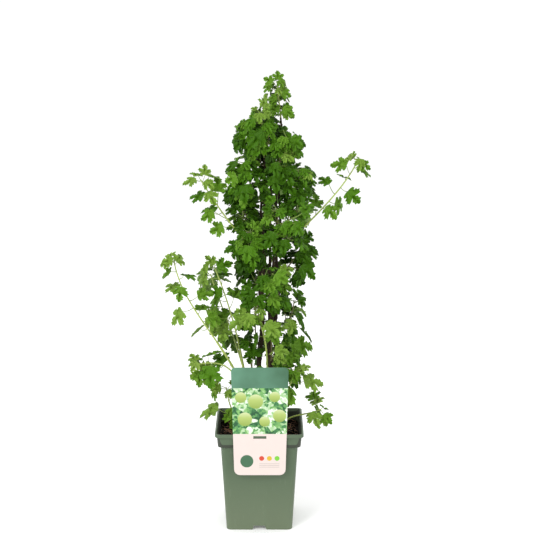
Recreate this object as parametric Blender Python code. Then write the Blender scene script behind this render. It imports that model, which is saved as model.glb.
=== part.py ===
"""A gooseberry bush in its square nursery pot, with a hanging label.

Metres, +Z up, +X to the right and -Y towards the front. The origin is the middle of the pot's
flat underside. A short stool in the potting soil forks into five main stems, which rise close
together and slightly to the right. Basal and side shoots arch out of them. Every shoot, side
twig and stem tip ends in a mass of leaves: twigs and lobed leaves that a seeded rule grows from
one spine, each mass in its own space.
"""

import bmesh
import bpy
import numpy as np
from mathutils.bvhtree import BVHTree

# Clearance between pieces that touch on the real plant
GAP = 0.0003

# Pot: half widths are from the middle to the flat of a side
POT_HEIGHT = 0.177
LIP_HALF = 0.075
LIP_HEIGHT = 0.0060
LIP_THICK = 0.0027
LIP_EASE = 0.0008
COLLAR_TOP_HALF = 0.0719
COLLAR_FOOT_HALF = 0.0702
COLLAR_FOOT = 0.1527
BODY_TOP_HALF = 0.0654
BODY_TOP = 0.1512
FOOT_HALF = 0.0565
WALL = 0.0018
FLOOR_TOP = 0.0100
CORNER_RADIUS = 0.0085
CORNER_STEPS = 4
CHANNEL_FOOT_HALF = 0.0121
CHANNEL_TOP_HALF = 0.0098
CHANNEL_HEIGHT = 0.0076
CHANNEL_DEPTH = 0.034
# How far a cutter reaches past what it cuts
CUT_BELOW = 0.002
CUT_BEYOND = 0.010

# Potting soil
SOIL_LEVEL = 0.155

# Label: a stiff card in front of the lip, wider at the top, with a tongue under the lip
LABEL_TOP = 0.2950
LABEL_FOOT = 0.1063
LABEL_TOP_HALF = 0.0480
LABEL_FOOT_HALF = 0.0435
LABEL_MIDDLE = 0.001
LABEL_THICK = 0.0005
LABEL_TOP_RADIUS = 0.007
LABEL_FOOT_RADIUS = 0.010
SLOT_HALF = 0.011
SLOT_TOP = 0.1754
SLOT_FOOT = 0.1708
TONGUE_HALF = 0.0098
TONGUE_FOOT = 0.1530
TONGUE_LEAN = 0.0027

# Stool and main stems
STOOL_X = 0.010
STOOL_TOP = 0.185
STOOL_SIDES = 12
STOOL_STATIONS = 5
STOOL_FLARE = 0.0172
STOOL_WAIST = 0.0128
LEAN = 0.024
STEM_COUNT = 5
STEM_TIPS = (0.702, 0.640, 0.636, 0.655, 0.612)
STEM_RING = 0.0085
BUNDLE_RING = 0.0145
BUNDLE_LEVEL = 0.260
STEM_TURN = np.radians(25)
STEM_WOBBLE = 0.0028
WOBBLE_PITCH = 0.13
STEM_ROOT_RADIUS = 0.0036
STEM_TIP_RADIUS = 0.0016
STEM_SIDES = 6
STEM_STATIONS = 13
WOBBLE_RATIO = 1.3

# Crown: half width of the leafy column at some levels, from its lean axis
CROWN_LEVELS = (0.26, 0.34, 0.45, 0.57, 0.65, 0.70, 0.775)
CROWN_HALVES = (0.055, 0.062, 0.086, 0.088, 0.074, 0.054, 0.016)

# Side twigs on the main stems, each the spine of a mass
SIDE_LEVELS = 4
LOWEST_SIDE = 0.232
SIDE_STEP = 0.104
SIDE_STAGGER = 0.0196
SIDE_RISE = 0.066
SIDE_RISE_CHANCE = 0.15
SIDE_TURN_CHANCE = 0.55
SIDE_ROOT_PULL = 0.012
SIDE_END_PULL = 0.026
SIDE_LEAST_REACH = 0.020
SIDE_STATIONS = 5
LEAF_REACH = 0.030
TIP_LENGTH = 0.060
TIP_SPREAD = 0.028
TIP_PULL = 0.020
TIP_STATIONS = 6

# Twigs and leaves
TWIG_RADIUS = 0.0014
TWIG_TIP_RADIUS = 0.0010
BRANCHLET_RADIUS = 0.0010
BOUGH_SIDES = 5
BOUGH_STATIONS = 8
SHOOT_STATIONS = 7
TWIG_SIDES = 3
# How far a shoot on a stem leaves its bark, outwards and upwards, before it bends
BARK_PULL_OUT = 0.6
BARK_PULL_UP = 0.5
GOLDEN_TURN = np.pi * (3 - 5 ** 0.5)
LEAF_LENGTH = 0.0395
TOP_LEAF_LEVELS = (0.66, 0.76)
TOP_LEAF_SHARES = (1.0, 0.62)
STALK_SHARE = 0.52
STALK_RADIUS = 0.00042
LEAF_THICKNESS_SHARE = 0.026
LEAF_CENTRE = (0.40, 0.0)
LEAF_OUTLINE = ((0.0, 0.022), (0.07, 0.36), (0.50, 0.53), (0.60, 0.25), (1.0, 0.0))
# A blade's height over its flat, in lengths: the factors of u, of u squared and of v squared
LEAF_BEND = (0.08, -0.16, -0.16)
LEAF_DROOP = np.radians(10)
KEEL_DEPTH = 0.030
# Leaves lose this much of their length from a spine's root to its tip
LEAF_ROOT_SHARE = 1.10
LEAF_FADE = 0.38
LOWEST_LEAF = 0.142
# What a stalk aims at: sideways from its twig, outwards from the crown, up, and by chance
AIM_SIDE = 0.95
AIM_OUT = 0.55
AIM_UP = 0.35
AIM_CHANCE = 0.30
STALK_CHANCE = (0.7, 1.35)
# What a blade faces: the lighter side, up, sideways from its twig, and by chance
FACE_LIGHT = 0.75
FACE_UP = 0.50
FACE_SIDE = 0.20
FACE_CHANCE = 0.42
LIGHT_ACROSS = 0.4
LIGHT_DIVIDE = 0.03
# Trials of a leaf: turns to either side, and smaller each time
LEAF_TRIES = 15
LEAF_SWING = 0.42
LEAF_SIZE_CHANCE = (0.86, 1.12)
LEAF_TRIAL_FADE = 0.025
TRIAL_SWELL = 1.05
KEPT_SWELL = 1.02
SWELL_THICKENS = 80
STALK_ROOM = 0.0007
STALK_FREE = 0.25
SPACE_SLACK = 0.016
SIDE_SPACING = 0.0122
SHOOT_SPACING = 0.0190
SHOOT_BARE = 0.04
TIP_BARE = 0.06
SIDE_BARE = 0.16
END_LEAVES = 3
END_LEAF_SHARE = 0.74
END_LEAF_STEP = 0.0012
BRANCHLET_EVERY = 4
BRANCHLET_LENGTH = 0.026
BRANCHLET_CHANCE = 0.2
BRANCHLET_LIFT = 0.004
BRANCHLET_LEAVES = (0.5, 0.74, 0.95)
BRANCHLET_LEAF_SHARE = 0.92
BRANCHLET_TURN = 2.1
BRANCHLET_FREE = 0.15
SEED = 2718

# Finishes: linear colour and roughness
POT_FINISH = ((0.155, 0.222, 0.142), 0.42)
PEAT_FINISH = ((0.030, 0.019, 0.012), 0.95)
LABEL_FINISH = ((0.86, 0.80, 0.74), 0.35)
BARK_FINISH = ((0.105, 0.062, 0.036), 0.8)
YOUNG_BARK_FINISH = ((0.250, 0.330, 0.090), 0.6)
LEAF_FINISH = ((0.075, 0.195, 0.030), 0.5)
CUTTER_FINISH = ((0.5, 0.5, 0.5), 0.5)

# Edges that bend less than this are shaded smooth
POT_SMOOTH = 30
LIMB_SMOOTH = 50

# Shoots: four control points of a curve, where along it the leaves start, and its root radius.
# A shoot with a stem number starts on that stem, at the height of its first point.
SHOOTS = {
    "far_left": (((-0.012, -0.018, 0), (0.013, -0.014, 0.294), (-0.128, -0.039, 0.368),
                  (-0.141, -0.050, 0.472)), 0.50, 0.0023, None),
    "inner_left": (((-0.018, 0.012, 0), (-0.004, 0.006, 0.250), (-0.040, 0.000, 0.360),
                    (-0.076, 0.000, 0.450)), 0.56, 0.0022, None),
    "low_left": (((-0.022, -0.026, 0), (-0.022, -0.034, 0.290), (-0.062, -0.040, 0.300),
                  (-0.108, -0.042, 0.290)), 0.44, 0.0016, None),
    "rim_left": (((-0.036, -0.010, 0), (-0.036, -0.012, 0.192), (-0.052, -0.026, 0.200),
                  (-0.056, -0.034, 0.248)), 0.40, 0.0014, None),
    "front": (((0.013, -0.028, 0), (0.012, -0.040, 0.290), (0.020, -0.040, 0.330),
               (-0.008, -0.046, 0.384)), 0.80, 0.0019, None),
    "low_right": (((0.036, -0.020, 0), (0.038, -0.028, 0.220), (0.050, -0.034, 0.236),
                   (0.060, -0.038, 0.280)), 0.46, 0.0016, None),
    "rim_right": (((0.040, 0.004, 0), (0.041, 0.006, 0.194), (0.078, 0.004, 0.182),
                   (0.106, -0.014, 0.203)), 0.66, 0.0014, None),
    "back_left": (((-0.012, 0.026, 0), (-0.014, 0.034, 0.260), (-0.064, 0.062, 0.350),
                   (-0.086, 0.082, 0.420)), 0.50, 0.0020, None),
    "back_right": (((0.030, 0.024, 0), (0.030, 0.030, 0.240), (0.048, 0.068, 0.290),
                    (0.058, 0.086, 0.360)), 0.50, 0.0019, None),
    "upper_left": (((0, 0, 0.470), (-0.036, -0.024, 0.520), (-0.064, -0.040, 0.552),
                    (-0.096, -0.046, 0.606)), 0.40, 0.0017, 2),
    "upper_right": (((0, 0, 0.480), (0.072, -0.006, 0.545), (0.150, 0.006, 0.590),
                     (0.165, 0.010, 0.632)), 0.34, 0.0017, 0),
    "upper_back": (((0, 0, 0.455), (0.050, 0.046, 0.500), (0.058, 0.084, 0.540),
                    (0.064, 0.106, 0.590)), 0.42, 0.0017, 1),
}


def unit(vectors):
    """The same directions at length 1, for one vector or rows of them."""
    vectors = np.asarray(vectors, float)
    return vectors / np.linalg.norm(vectors, axis=-1, keepdims=True)


def chance(*key):
    """An even draw from 0 to 1 that depends only on SEED and the whole numbers in its key."""
    value = SEED
    for number in key:
        value = (value ^ (number + 0x9E3779B9)) * 0x85EBCA6B % 2 ** 32
        value ^= value >> 13
    value = value * 0xC2B2AE35 % 2 ** 32
    return (value ^ value >> 16) / 2 ** 32


def between(low, high, *key):
    return low + (high - low) * chance(*key)


def material(name, colour, roughness):
    made = bpy.data.materials.new(name)
    made.use_nodes = True
    shader = made.node_tree.nodes["Principled BSDF"]
    shader.inputs["Base Color"].default_value = (*colour, 1.0)
    shader.inputs["Roughness"].default_value = roughness
    shader.inputs["Metallic"].default_value = 0.0
    return made


def piece(name, shape, finish, smooth_below=None):
    """An object from (points, faces), with its normals turned outwards."""
    points, faces = shape
    mesh = bpy.data.meshes.new(name)
    mesh.from_pydata([tuple(map(float, point)) for point in points], [], faces)
    work = bmesh.new()
    work.from_mesh(mesh)
    bmesh.ops.recalc_face_normals(work, faces=work.faces)
    work.to_mesh(mesh)
    work.free()
    if smooth_below is not None:
        mesh.shade_smooth()
        mesh.set_sharp_from_angle(angle=np.radians(smooth_below))
    mesh.materials.append(finish)
    made = bpy.data.objects.new(name, mesh)
    bpy.context.scene.collection.objects.link(made)
    return made


def loft(rings):
    """Faces and points of a closed skin over rings of equal count, with a flat face at each end."""
    rings = np.asarray(rings)
    stations, count = rings.shape[:2]
    faces = []
    for station in range(stations - 1):
        for i in range(count):
            j = (i + 1) % count
            low, high = station * count, (station + 1) * count
            faces.append((low + i, low + j, high + j, high + i))
    faces.append(tuple(range(count))[::-1])
    faces.append(tuple((stations - 1) * count + i for i in range(count)))
    return rings.reshape(-1, 3), faces


def bezier(controls, shares):
    """Points and directions on a cubic curve: p = (1-t)^3 a + 3t(1-t)^2 b + 3t^2(1-t) c + t^3 d."""
    a, b, c, d = np.asarray(controls, float)
    t = np.asarray(shares, float)[:, None]
    points = (1 - t) ** 3 * a + 3 * t * (1 - t) ** 2 * b + 3 * t * t * (1 - t) * c + t ** 3 * d
    slopes = (1 - t) ** 2 * (b - a) + 2 * t * (1 - t) * (c - b) + t * t * (d - c)
    return points, unit(slopes)


def across(direction):
    """A direction square to the given one, level where that is possible."""
    helper = np.array((0.0, 0, 1)) if abs(direction[2]) < 0.9 else np.array((1.0, 0, 0))
    return unit(np.cross(direction, helper))


def tube(points, along, radii, sides):
    """A tapering limb: rings of points round a path and square to it, with a flat cut at each end."""
    normal = np.cross(along[0], along[-1])
    normal = unit(normal) if np.linalg.norm(normal) > 0.2 else across(unit(points[-1] - points[0]))
    second = unit(np.cross(along, normal))
    first = np.cross(second, along)
    turns = np.arange(sides) * 2 * np.pi / sides
    spokes = (np.cos(turns)[None, :, None] * first[:, None]
              + np.sin(turns)[None, :, None] * second[:, None])
    return loft(points[:, None] + np.asarray(radii)[:, None, None] * spokes)


# The pot and what is in it

def square_ring(half, corner, z):
    """A square with rounded corners: a quarter circle about (half - corner) in each quadrant."""
    steps = np.arange(CORNER_STEPS + 1) / CORNER_STEPS * np.pi / 2
    middle = half - corner
    points = []
    for quarter in range(4):
        start = quarter * np.pi / 2
        sign_x = 1 if quarter in (0, 3) else -1
        sign_y = 1 if quarter in (0, 1) else -1
        points += [(sign_x * middle + corner * np.cos(start + s),
                    sign_y * middle + corner * np.sin(start + s), z) for s in steps]
    return points


def outer_profile():
    """Half width and height of the pot's outer face, from the foot up to the lip."""
    lip_foot = POT_HEIGHT - LIP_HEIGHT
    return [
        (FOOT_HALF - LIP_EASE, 0.0), (FOOT_HALF, LIP_EASE),
        (BODY_TOP_HALF, BODY_TOP),
        (COLLAR_FOOT_HALF - LIP_EASE, COLLAR_FOOT - LIP_EASE / 2),
        (COLLAR_FOOT_HALF, COLLAR_FOOT + LIP_EASE),
        (COLLAR_TOP_HALF, lip_foot - LIP_EASE / 2),
        (LIP_HALF - LIP_EASE / 2, lip_foot), (LIP_HALF, lip_foot + LIP_EASE / 2),
        (LIP_HALF, POT_HEIGHT - LIP_EASE), (LIP_HALF - LIP_EASE, POT_HEIGHT),
    ]


def inner_profile(gap=0.0):
    """Half width and height of the pot's inner face, from the floor up; a gap draws it inwards."""
    body_slope = (BODY_TOP_HALF - FOOT_HALF) / BODY_TOP
    floor_half = FOOT_HALF + body_slope * FLOOR_TOP - WALL
    return [
        (floor_half - gap, FLOOR_TOP + gap),
        (BODY_TOP_HALF - WALL - gap, BODY_TOP - WALL + gap),
        (COLLAR_FOOT_HALF - WALL - gap, COLLAR_FOOT + gap),
        (COLLAR_TOP_HALF - WALL - gap, POT_HEIGHT - LIP_HEIGHT + gap),
        (LIP_HALF - LIP_THICK - gap, POT_HEIGHT - LIP_EASE / 2),
    ]


def channel_block(turn):
    """A bar, narrower at its top, that cuts one channel into the underside from the middle of a side."""
    slope = (CHANNEL_FOOT_HALF - CHANNEL_TOP_HALF) / CHANNEL_HEIGHT
    low_half = CHANNEL_FOOT_HALF + slope * CUT_BELOW
    corners = [(-low_half, -CUT_BELOW), (low_half, -CUT_BELOW),
               (CHANNEL_TOP_HALF, CHANNEL_HEIGHT), (-CHANNEL_TOP_HALF, CHANNEL_HEIGHT)]
    spin = np.array(((np.cos(turn), -np.sin(turn), 0), (np.sin(turn), np.cos(turn), 0), (0, 0, 1)))
    near, far = FOOT_HALF - CHANNEL_DEPTH, FOOT_HALF + CUT_BEYOND
    rings = [[spin @ (x, reach, z) for x, z in corners] for reach in (near, far)]
    return loft(rings)


def make_pot():
    finish = material("pot_green", *POT_FINISH)
    inside = inner_profile()[::-1]
    rings = [square_ring(half, CORNER_RADIUS, z) for half, z in outer_profile()]
    rings += [square_ring(half, CORNER_RADIUS - WALL, z) for half, z in inside]
    pot = piece("pot", loft(rings), finish, POT_SMOOTH)
    cutter = joined_object("channel_cutter", [channel_block(i * np.pi / 2) for i in range(4)])
    cut = pot.modifiers.new("channels", "BOOLEAN")
    cut.operation = "DIFFERENCE"
    cut.object = cutter


def joined_object(name, shapes):
    """Separate closed shapes in one hidden object, for cutting."""
    points, faces = [], []
    for shape_points, shape_faces in shapes:
        faces += [tuple(len(points) + i for i in face) for face in shape_faces]
        points += [tuple(point) for point in shape_points]
    made = piece(name, (points, faces), material(name, *CUTTER_FINISH))
    made.hide_render = True
    made.display_type = "WIRE"
    return made


def make_soil():
    finish = material("peat", *PEAT_FINISH)
    profile = inner_profile(GAP)
    halves, levels = zip(*profile)
    top_half = np.interp(SOIL_LEVEL, levels, halves)
    kept = [(half, z) for half, z in profile if z < SOIL_LEVEL] + [(top_half, SOIL_LEVEL)]
    rings = [square_ring(half, CORNER_RADIUS - WALL, z) for half, z in kept]
    piece("potting_soil", loft(rings), finish, POT_SMOOTH)


def label_outline(steps=5):
    """The label's outline in X and Z: straight sides that lean in, and an arc at each corner."""
    corners = [(1, LABEL_TOP, LABEL_TOP_HALF, LABEL_TOP_RADIUS, 0),
               (-1, LABEL_TOP, LABEL_TOP_HALF, LABEL_TOP_RADIUS, 90),
               (-1, LABEL_FOOT, LABEL_FOOT_HALF, LABEL_FOOT_RADIUS, 180),
               (1, LABEL_FOOT, LABEL_FOOT_HALF, LABEL_FOOT_RADIUS, 270)]
    points = []
    for side, level, half, radius, start in corners:
        middle_x = LABEL_MIDDLE + side * (half - radius)
        middle_z = level - radius if level == LABEL_TOP else level + radius
        for turn in np.radians(np.linspace(start, start + 90, steps)):
            points.append((middle_x + radius * np.cos(turn), middle_z + radius * np.sin(turn)))
    return points


def make_label():
    finish = material("label_card", *LABEL_FINISH)
    back = -LIP_HALF - GAP
    front = back - LABEL_THICK
    outline = label_outline()
    label = piece("plant_label", loft([[(x, y, z) for x, z in outline] for y in (front, back)]), finish)
    slot = [(LABEL_MIDDLE + x, z) for x, z in ((-SLOT_HALF, SLOT_FOOT), (SLOT_HALF, SLOT_FOOT),
                                               (SLOT_HALF, SLOT_TOP), (-SLOT_HALF, SLOT_TOP))]
    cutter = joined_object("slot_cutter", [loft([[(x, y, z) for x, z in slot]
                                                 for y in (front - CUT_BELOW, back + CUT_BELOW)])])
    cut = label.modifiers.new("slot", "BOOLEAN")
    cut.operation = "DIFFERENCE"
    cut.object = cutter
    inside = back - LABEL_THICK / 2
    lean = [(inside, TONGUE_FOOT), (inside, SLOT_FOOT - GAP), (back + TONGUE_LEAN, SLOT_FOOT - GAP)]
    tongue = joined_object("tongue_block", [loft([[(LABEL_MIDDLE + x, y, z) for y, z in lean]
                                                  for x in (-TONGUE_HALF, TONGUE_HALF)])])
    join = label.modifiers.new("tongue", "BOOLEAN")
    join.operation = "UNION"
    join.object = tongue


# Stool, stems and boughs

class Limb:
    """A path with its directions and radii, and the solid round it."""

    def __init__(self, points, along, radii, sides):
        self.points, self.along, self.radii = points, along, np.asarray(radii)
        self.shape = tube(points, along, radii, sides)


def crown_axis(z):
    """The middle of the crown at height z: it leans to the right by LEAN per metre."""
    return np.array((STOOL_X + LEAN * (z - SOIL_LEVEL), 0.0, z))


def make_stool(finish):
    """The woody foot: a flared base cut flat at the soil, narrowing to a flat fork."""
    levels = np.linspace(SOIL_LEVEL + GAP, STOOL_TOP, STOOL_STATIONS)
    share = (levels - levels[0]) / (levels[-1] - levels[0])
    radii = STOOL_WAIST + (STOOL_FLARE - STOOL_WAIST) * (1 - share) ** 2
    points = np.array([(STOOL_X, 0.0, z) for z in levels])
    limb = Limb(points, np.tile((0.0, 0, 1), (len(levels), 1)), radii, STOOL_SIDES)
    piece("stool", limb.shape, finish, LIMB_SMOOTH)
    return limb


def main_stem(number):
    """A stem of the bundle: a circle about the crown's axis that it climbs while it turns and wobbles."""
    levels = np.linspace(STOOL_TOP + GAP, STEM_TIPS[number], STEM_STATIONS)
    share = (levels - levels[0]) / (levels[-1] - levels[0])
    spread = np.clip((levels - levels[0]) / (BUNDLE_LEVEL - levels[0]), 0, 1)
    spread = spread * spread * (3 - 2 * spread)
    turn = 2 * np.pi * number / STEM_COUNT + STEM_TURN * share * spread
    phase = 2 * np.pi * (levels / WOBBLE_PITCH + chance(number, 1))
    ring = STEM_RING + spread * (BUNDLE_RING - STEM_RING + STEM_WOBBLE * np.sin(phase))
    x = STOOL_X + spread * LEAN * (levels - SOIL_LEVEL) + ring * np.cos(turn)
    y = ring * np.sin(turn) + spread * STEM_WOBBLE * np.cos(WOBBLE_RATIO * phase)
    points = np.stack((x, y, levels), axis=1)
    along = unit(np.gradient(points, axis=0))
    along[0] = (0, 0, 1)
    radii = STEM_ROOT_RADIUS + (STEM_TIP_RADIUS - STEM_ROOT_RADIUS) * share
    return Limb(points, along, radii, STEM_SIDES)


def on_stem(stem, level, towards):
    """A point 0.3 mm off a stem's bark at a level, on the side that faces a direction."""
    middle = np.array([np.interp(level, stem.points[:, 2], stem.points[:, i]) for i in range(3)])
    radius = np.interp(level, stem.points[:, 2], stem.radii)
    level_way = unit(np.array((towards[0], towards[1], 0.0)))
    return middle + (radius + GAP) * level_way, level_way


def shoot_curve(controls, stem):
    """A shoot's four control points, with its root set on the soil or on the bark of its stem."""
    controls = np.array(controls, float)
    if stem is None:
        controls[0, 2] = SOIL_LEVEL + GAP
        controls[1, :2] = controls[0, :2]
    else:
        root, way = on_stem(stem, controls[0, 2], controls[1, :2] - crown_axis(controls[0, 2])[:2])
        rise = np.linalg.norm(controls[1] - root)
        controls[1] = root + rise * (BARK_PULL_OUT * way + np.array((0, 0, BARK_PULL_UP)))
        controls[0] = root
    return controls


def split_shoot(controls, share, root_radius, on_bark):
    """A shoot as its bare bough and the spine of the mass that goes on from it."""
    points, along = bezier(controls, np.linspace(0, share, BOUGH_STATIONS))
    if on_bark:
        along[0] = unit(along[0] * (1, 1, 0))
    end_radius = root_radius + (TWIG_RADIUS - root_radius) * share
    bough = Limb(points, along, np.linspace(root_radius, end_radius, BOUGH_STATIONS), BOUGH_SIDES)
    points, along = bezier(controls, np.linspace(share, 1, SHOOT_STATIONS))
    points = points.copy()
    points[0] += GAP * along[0]
    spine = Limb(points, along, np.linspace(end_radius, TWIG_TIP_RADIUS, SHOOT_STATIONS), TWIG_SIDES)
    return bough, spine


# Masses of leaves

def crown_half(z):
    return np.interp(z, CROWN_LEVELS, CROWN_HALVES)


def side_spine(stem, number, level_number, attempt):
    """A side twig: out of the bark, then up to where its leaves reach the crown's outline."""
    key = (number, level_number, attempt)
    level = LOWEST_SIDE + level_number * SIDE_STEP + (2 * number % STEM_COUNT) * SIDE_STAGGER
    turn = 2 * np.pi * number / STEM_COUNT + between(-SIDE_TURN_CHANCE, SIDE_TURN_CHANCE, *key, 1)
    way = np.array((np.cos(turn), np.sin(turn), 0.0))
    root, way = on_stem(stem, level, way)
    top = level + SIDE_RISE * between(1 - SIDE_RISE_CHANCE, 1 + SIDE_RISE_CHANCE, *key, 2)
    end = crown_axis(top) + way * max(crown_half(top) - LEAF_REACH, SIDE_LEAST_REACH)
    controls = (root, root + SIDE_ROOT_PULL * way, end - (0, 0, SIDE_END_PULL), end)
    points, along = bezier(controls, np.linspace(0, 1, SIDE_STATIONS))
    return Limb(points, along, np.linspace(TWIG_RADIUS, TWIG_TIP_RADIUS, SIDE_STATIONS), TWIG_SIDES)


def tip_spine(stem, number):
    """The leafy end of a stem: it goes on up and spreads a little from the axis.

    The first stem is the tallest, and its end comes halfway in to the axis instead.
    """
    root, heading = stem.points[-1] + GAP * stem.along[-1], stem.along[-1]
    away = unit((root - crown_axis(root[2])) * (1, 1, 0))
    end = root + TIP_LENGTH * np.array((0, 0, 1))
    if number == 0:
        end[:2] = (crown_axis(end[2]) + end)[:2] / 2
    else:
        end += TIP_SPREAD * away
    controls = (root, root + TIP_PULL * heading, end - (0, 0, TIP_PULL), end)
    points, along = bezier(controls, np.linspace(0, 1, TIP_STATIONS))
    return Limb(points, along, np.linspace(STEM_TIP_RADIUS, TWIG_TIP_RADIUS, TIP_STATIONS), TWIG_SIDES)


def outward(point):
    """The level direction from the crown's axis to a point."""
    return unit((point - crown_axis(point[2])) * (1, 1, 0) + 1e-6)


def leaf_place(point, along, turn, size, key):
    """Where a leaf goes: (root, foot, aim, sideways, forward, normal, length).

    The stalk leaves the twig sideways, at a turn round it, and bends out from the crown and up.
    The blade faces up and to the lighter side, front or back, goes on the way its stalk points,
    and droops.
    """
    jitter = np.array([between(-1, 1, *key, i) for i in range(3)])
    side = across(along)
    side = np.cos(turn) * side + np.sin(turn) * np.cross(along, side)
    up = np.array((0.0, 0, 1))
    aim = unit(AIM_SIDE * side + AIM_OUT * outward(point) + AIM_UP * up + AIM_CHANCE * jitter)
    foot = point + size * STALK_SHARE * between(*STALK_CHANCE, *key, 3) * aim
    light = unit((foot - crown_axis(foot[2])) * (LIGHT_ACROSS, 1, 0) - (0, LIGHT_DIVIDE, 0))
    face = unit(FACE_LIGHT * light + FACE_UP * up + FACE_SIDE * side + FACE_CHANCE * jitter[::-1])
    sideways = unit(np.cross(aim, face))
    level = np.cross(face, sideways)
    forward = np.cos(LEAF_DROOP) * level - np.sin(LEAF_DROOP) * face
    normal = np.cos(LEAF_DROOP) * face + np.sin(LEAF_DROOP) * level
    return point, foot, aim, sideways, forward, normal, size


def leaf_shape(place, swell=1.0, whole=True):
    """A lobed blade on a three-sided stalk, closed: a fan of faces above and one below the outline.

    The blade bends: at u lengths along and v across, its height is a u + b u^2 + c v^2 lengths,
    with a, b and c from LEAF_BEND. A swell above 1 makes it wider and much thicker, for trials.
    """
    root, foot, aim, sideways, forward, normal, length = place
    right = list(LEAF_OUTLINE)
    outline = right + [(u, -v) for u, v in right[-2::-1]]

    def at(u, v, lift=0.0):
        bend = LEAF_BEND[0] * u + LEAF_BEND[1] * u * u + LEAF_BEND[2] * v * v
        return foot + length * (u * forward + v * sideways + (bend + lift) * normal)

    middle_u, thick = LEAF_CENTRE[0], LEAF_THICKNESS_SHARE / 2
    grown = [(middle_u + (u - middle_u) * swell, v * swell) for u, v in outline]
    points = [at(u, v) for u, v in grown]
    thick *= 1 + SWELL_THICKENS * (swell - 1)
    count = len(points)
    points += [at(*LEAF_CENTRE, thick), at(*LEAF_CENTRE, -thick)]
    top, bottom = count, count + 1
    faces = [(top, i, (i + 1) % count) for i in range(count)]
    faces += [(bottom, i + 1, i) for i in range(count - 1)]
    if not whole:
        return points, faces + [(bottom, 0, count - 1)]
    keel_way = unit(np.cross(sideways, unit(forward + aim)))
    keel_way *= -np.sign(np.dot(keel_way, normal))
    root_way = np.cross(sideways, aim)
    root_way *= np.sign(np.dot(root_way, keel_way))
    keel = count + 2
    points += [foot + KEEL_DEPTH * length * keel_way, root + STALK_RADIUS * sideways,
               root - STALK_RADIUS * sideways, root + 1.5 * STALK_RADIUS * root_way]
    right_root, left_root, keel_root = keel + 1, keel + 2, keel + 3
    left = count - 1
    faces += [(bottom, 0, keel), (bottom, keel, left),
              (0, left, left_root, right_root), (left, keel, keel_root, left_root),
              (keel, 0, right_root, keel_root), (right_root, left_root, keel_root)]
    return points, faces


def stalk_line(place):
    """A thin prism round the free part of a leaf's stalk, to test what it would run into."""
    root, foot = place[:2]
    start = root + STALK_FREE * (foot - root)
    along = np.tile(unit(foot - root), (2, 1))
    return tube(np.array((start, foot)), along, (STALK_ROOM, STALK_ROOM), TWIG_SIDES)


class Neighbourhood:
    """Everything grown so far, as search trees, with the spines that share out the space."""

    def __init__(self):
        self.trees, self.middles, self.reaches, self.owners, self.wood = [], [], [], [], []
        self.spines = {}

    def add(self, owner, shape, wood):
        points = np.asarray(shape[0], float)
        self.trees.append(BVHTree.FromPolygons([tuple(p) for p in points], shape[1]))
        self.middles.append(points.mean(axis=0))
        self.reaches.append(np.linalg.norm(points - self.middles[-1], axis=1).max())
        self.owners.append(owner)
        self.wood.append(wood)

    def meets(self, shape, pass_over=None):
        """Whether a shape cuts anything already there, leaving out the wood of one owner."""
        points = np.asarray(shape[0], float)
        middle = points.mean(axis=0)
        reach = np.linalg.norm(points - middle, axis=1).max()
        far = np.linalg.norm(np.array(self.middles) - middle, axis=1)
        tree = BVHTree.FromPolygons([tuple(p) for p in points], shape[1])
        for i in np.flatnonzero(far < reach + np.array(self.reaches)):
            if self.wood[i] and self.owners[i] == pass_over:
                continue
            if self.trees[i].overlap(tree):
                return True
        return False

    def in_own_space(self, owner, points):
        """Whether points lie nearer to their own spine than to any other, within the slack."""
        points = np.asarray(points, float)
        nearest = {name: np.linalg.norm(points[:, None] - spine[None], axis=2).min(axis=1)
                   for name, spine in self.spines.items()}
        own = nearest.pop(owner)
        return bool((own < np.min(list(nearest.values()), axis=0) + SPACE_SLACK).all())


def fits(around, owner, place):
    """Whether a leaf keeps to its mass's space, above the pot's side, and touches nothing."""
    blade = leaf_shape(place, swell=TRIAL_SWELL, whole=False)
    return (min(p[2] for p in blade[0]) > LOWEST_LEAF
            and around.in_own_space(owner, blade[0])
            and not around.meets(blade)
            and not around.meets(stalk_line(place), pass_over=owner))


def leaf_length(point):
    """Leaves are smaller towards the top of the bush."""
    return LEAF_LENGTH * np.interp(point[2], TOP_LEAF_LEVELS, TOP_LEAF_SHARES)


def grow_leaves(around, owner, number, spine, first_bare, spacing):
    """The side twigs and leaves of one mass, in the order in which they leave its spine."""
    length = np.linalg.norm(np.diff(spine.points, axis=0), axis=1).sum()
    count = max(int(length * (1 - first_bare) / spacing), 3)
    shares = np.linspace(0, 1, len(spine.points))
    branchlets, leaves = [], []
    for j in range(count):
        share = first_bare + (1 - first_bare) * (j + 0.5) / count
        point = np.array([np.interp(share, shares, spine.points[:, i]) for i in range(3)])
        along = unit(np.array([np.interp(share, shares, spine.along[:, i]) for i in range(3)]))
        turn = j * GOLDEN_TURN + 2 * np.pi * chance(number, 7)
        size = leaf_length(point) * (LEAF_ROOT_SHARE - LEAF_FADE * share ** 2)
        if j % BRANCHLET_EVERY == 1 and j < count - 2:
            grow_branchlet(around, owner, (number, j), point, along, turn, size, branchlets, leaves)
        else:
            add_leaf(around, owner, (number, j), point, along, turn, size, leaves)
    end, heading = spine.points[-1], spine.along[-1]
    for j in range(END_LEAVES):
        turn = (j + chance(number, 8)) * 2 * np.pi / END_LEAVES
        point = end - END_LEAF_STEP * (j + 1) * heading
        size = END_LEAF_SHARE * leaf_length(point)
        add_leaf(around, owner, (number, count + j), point, heading, turn, size, leaves)
    return branchlets, leaves


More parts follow.
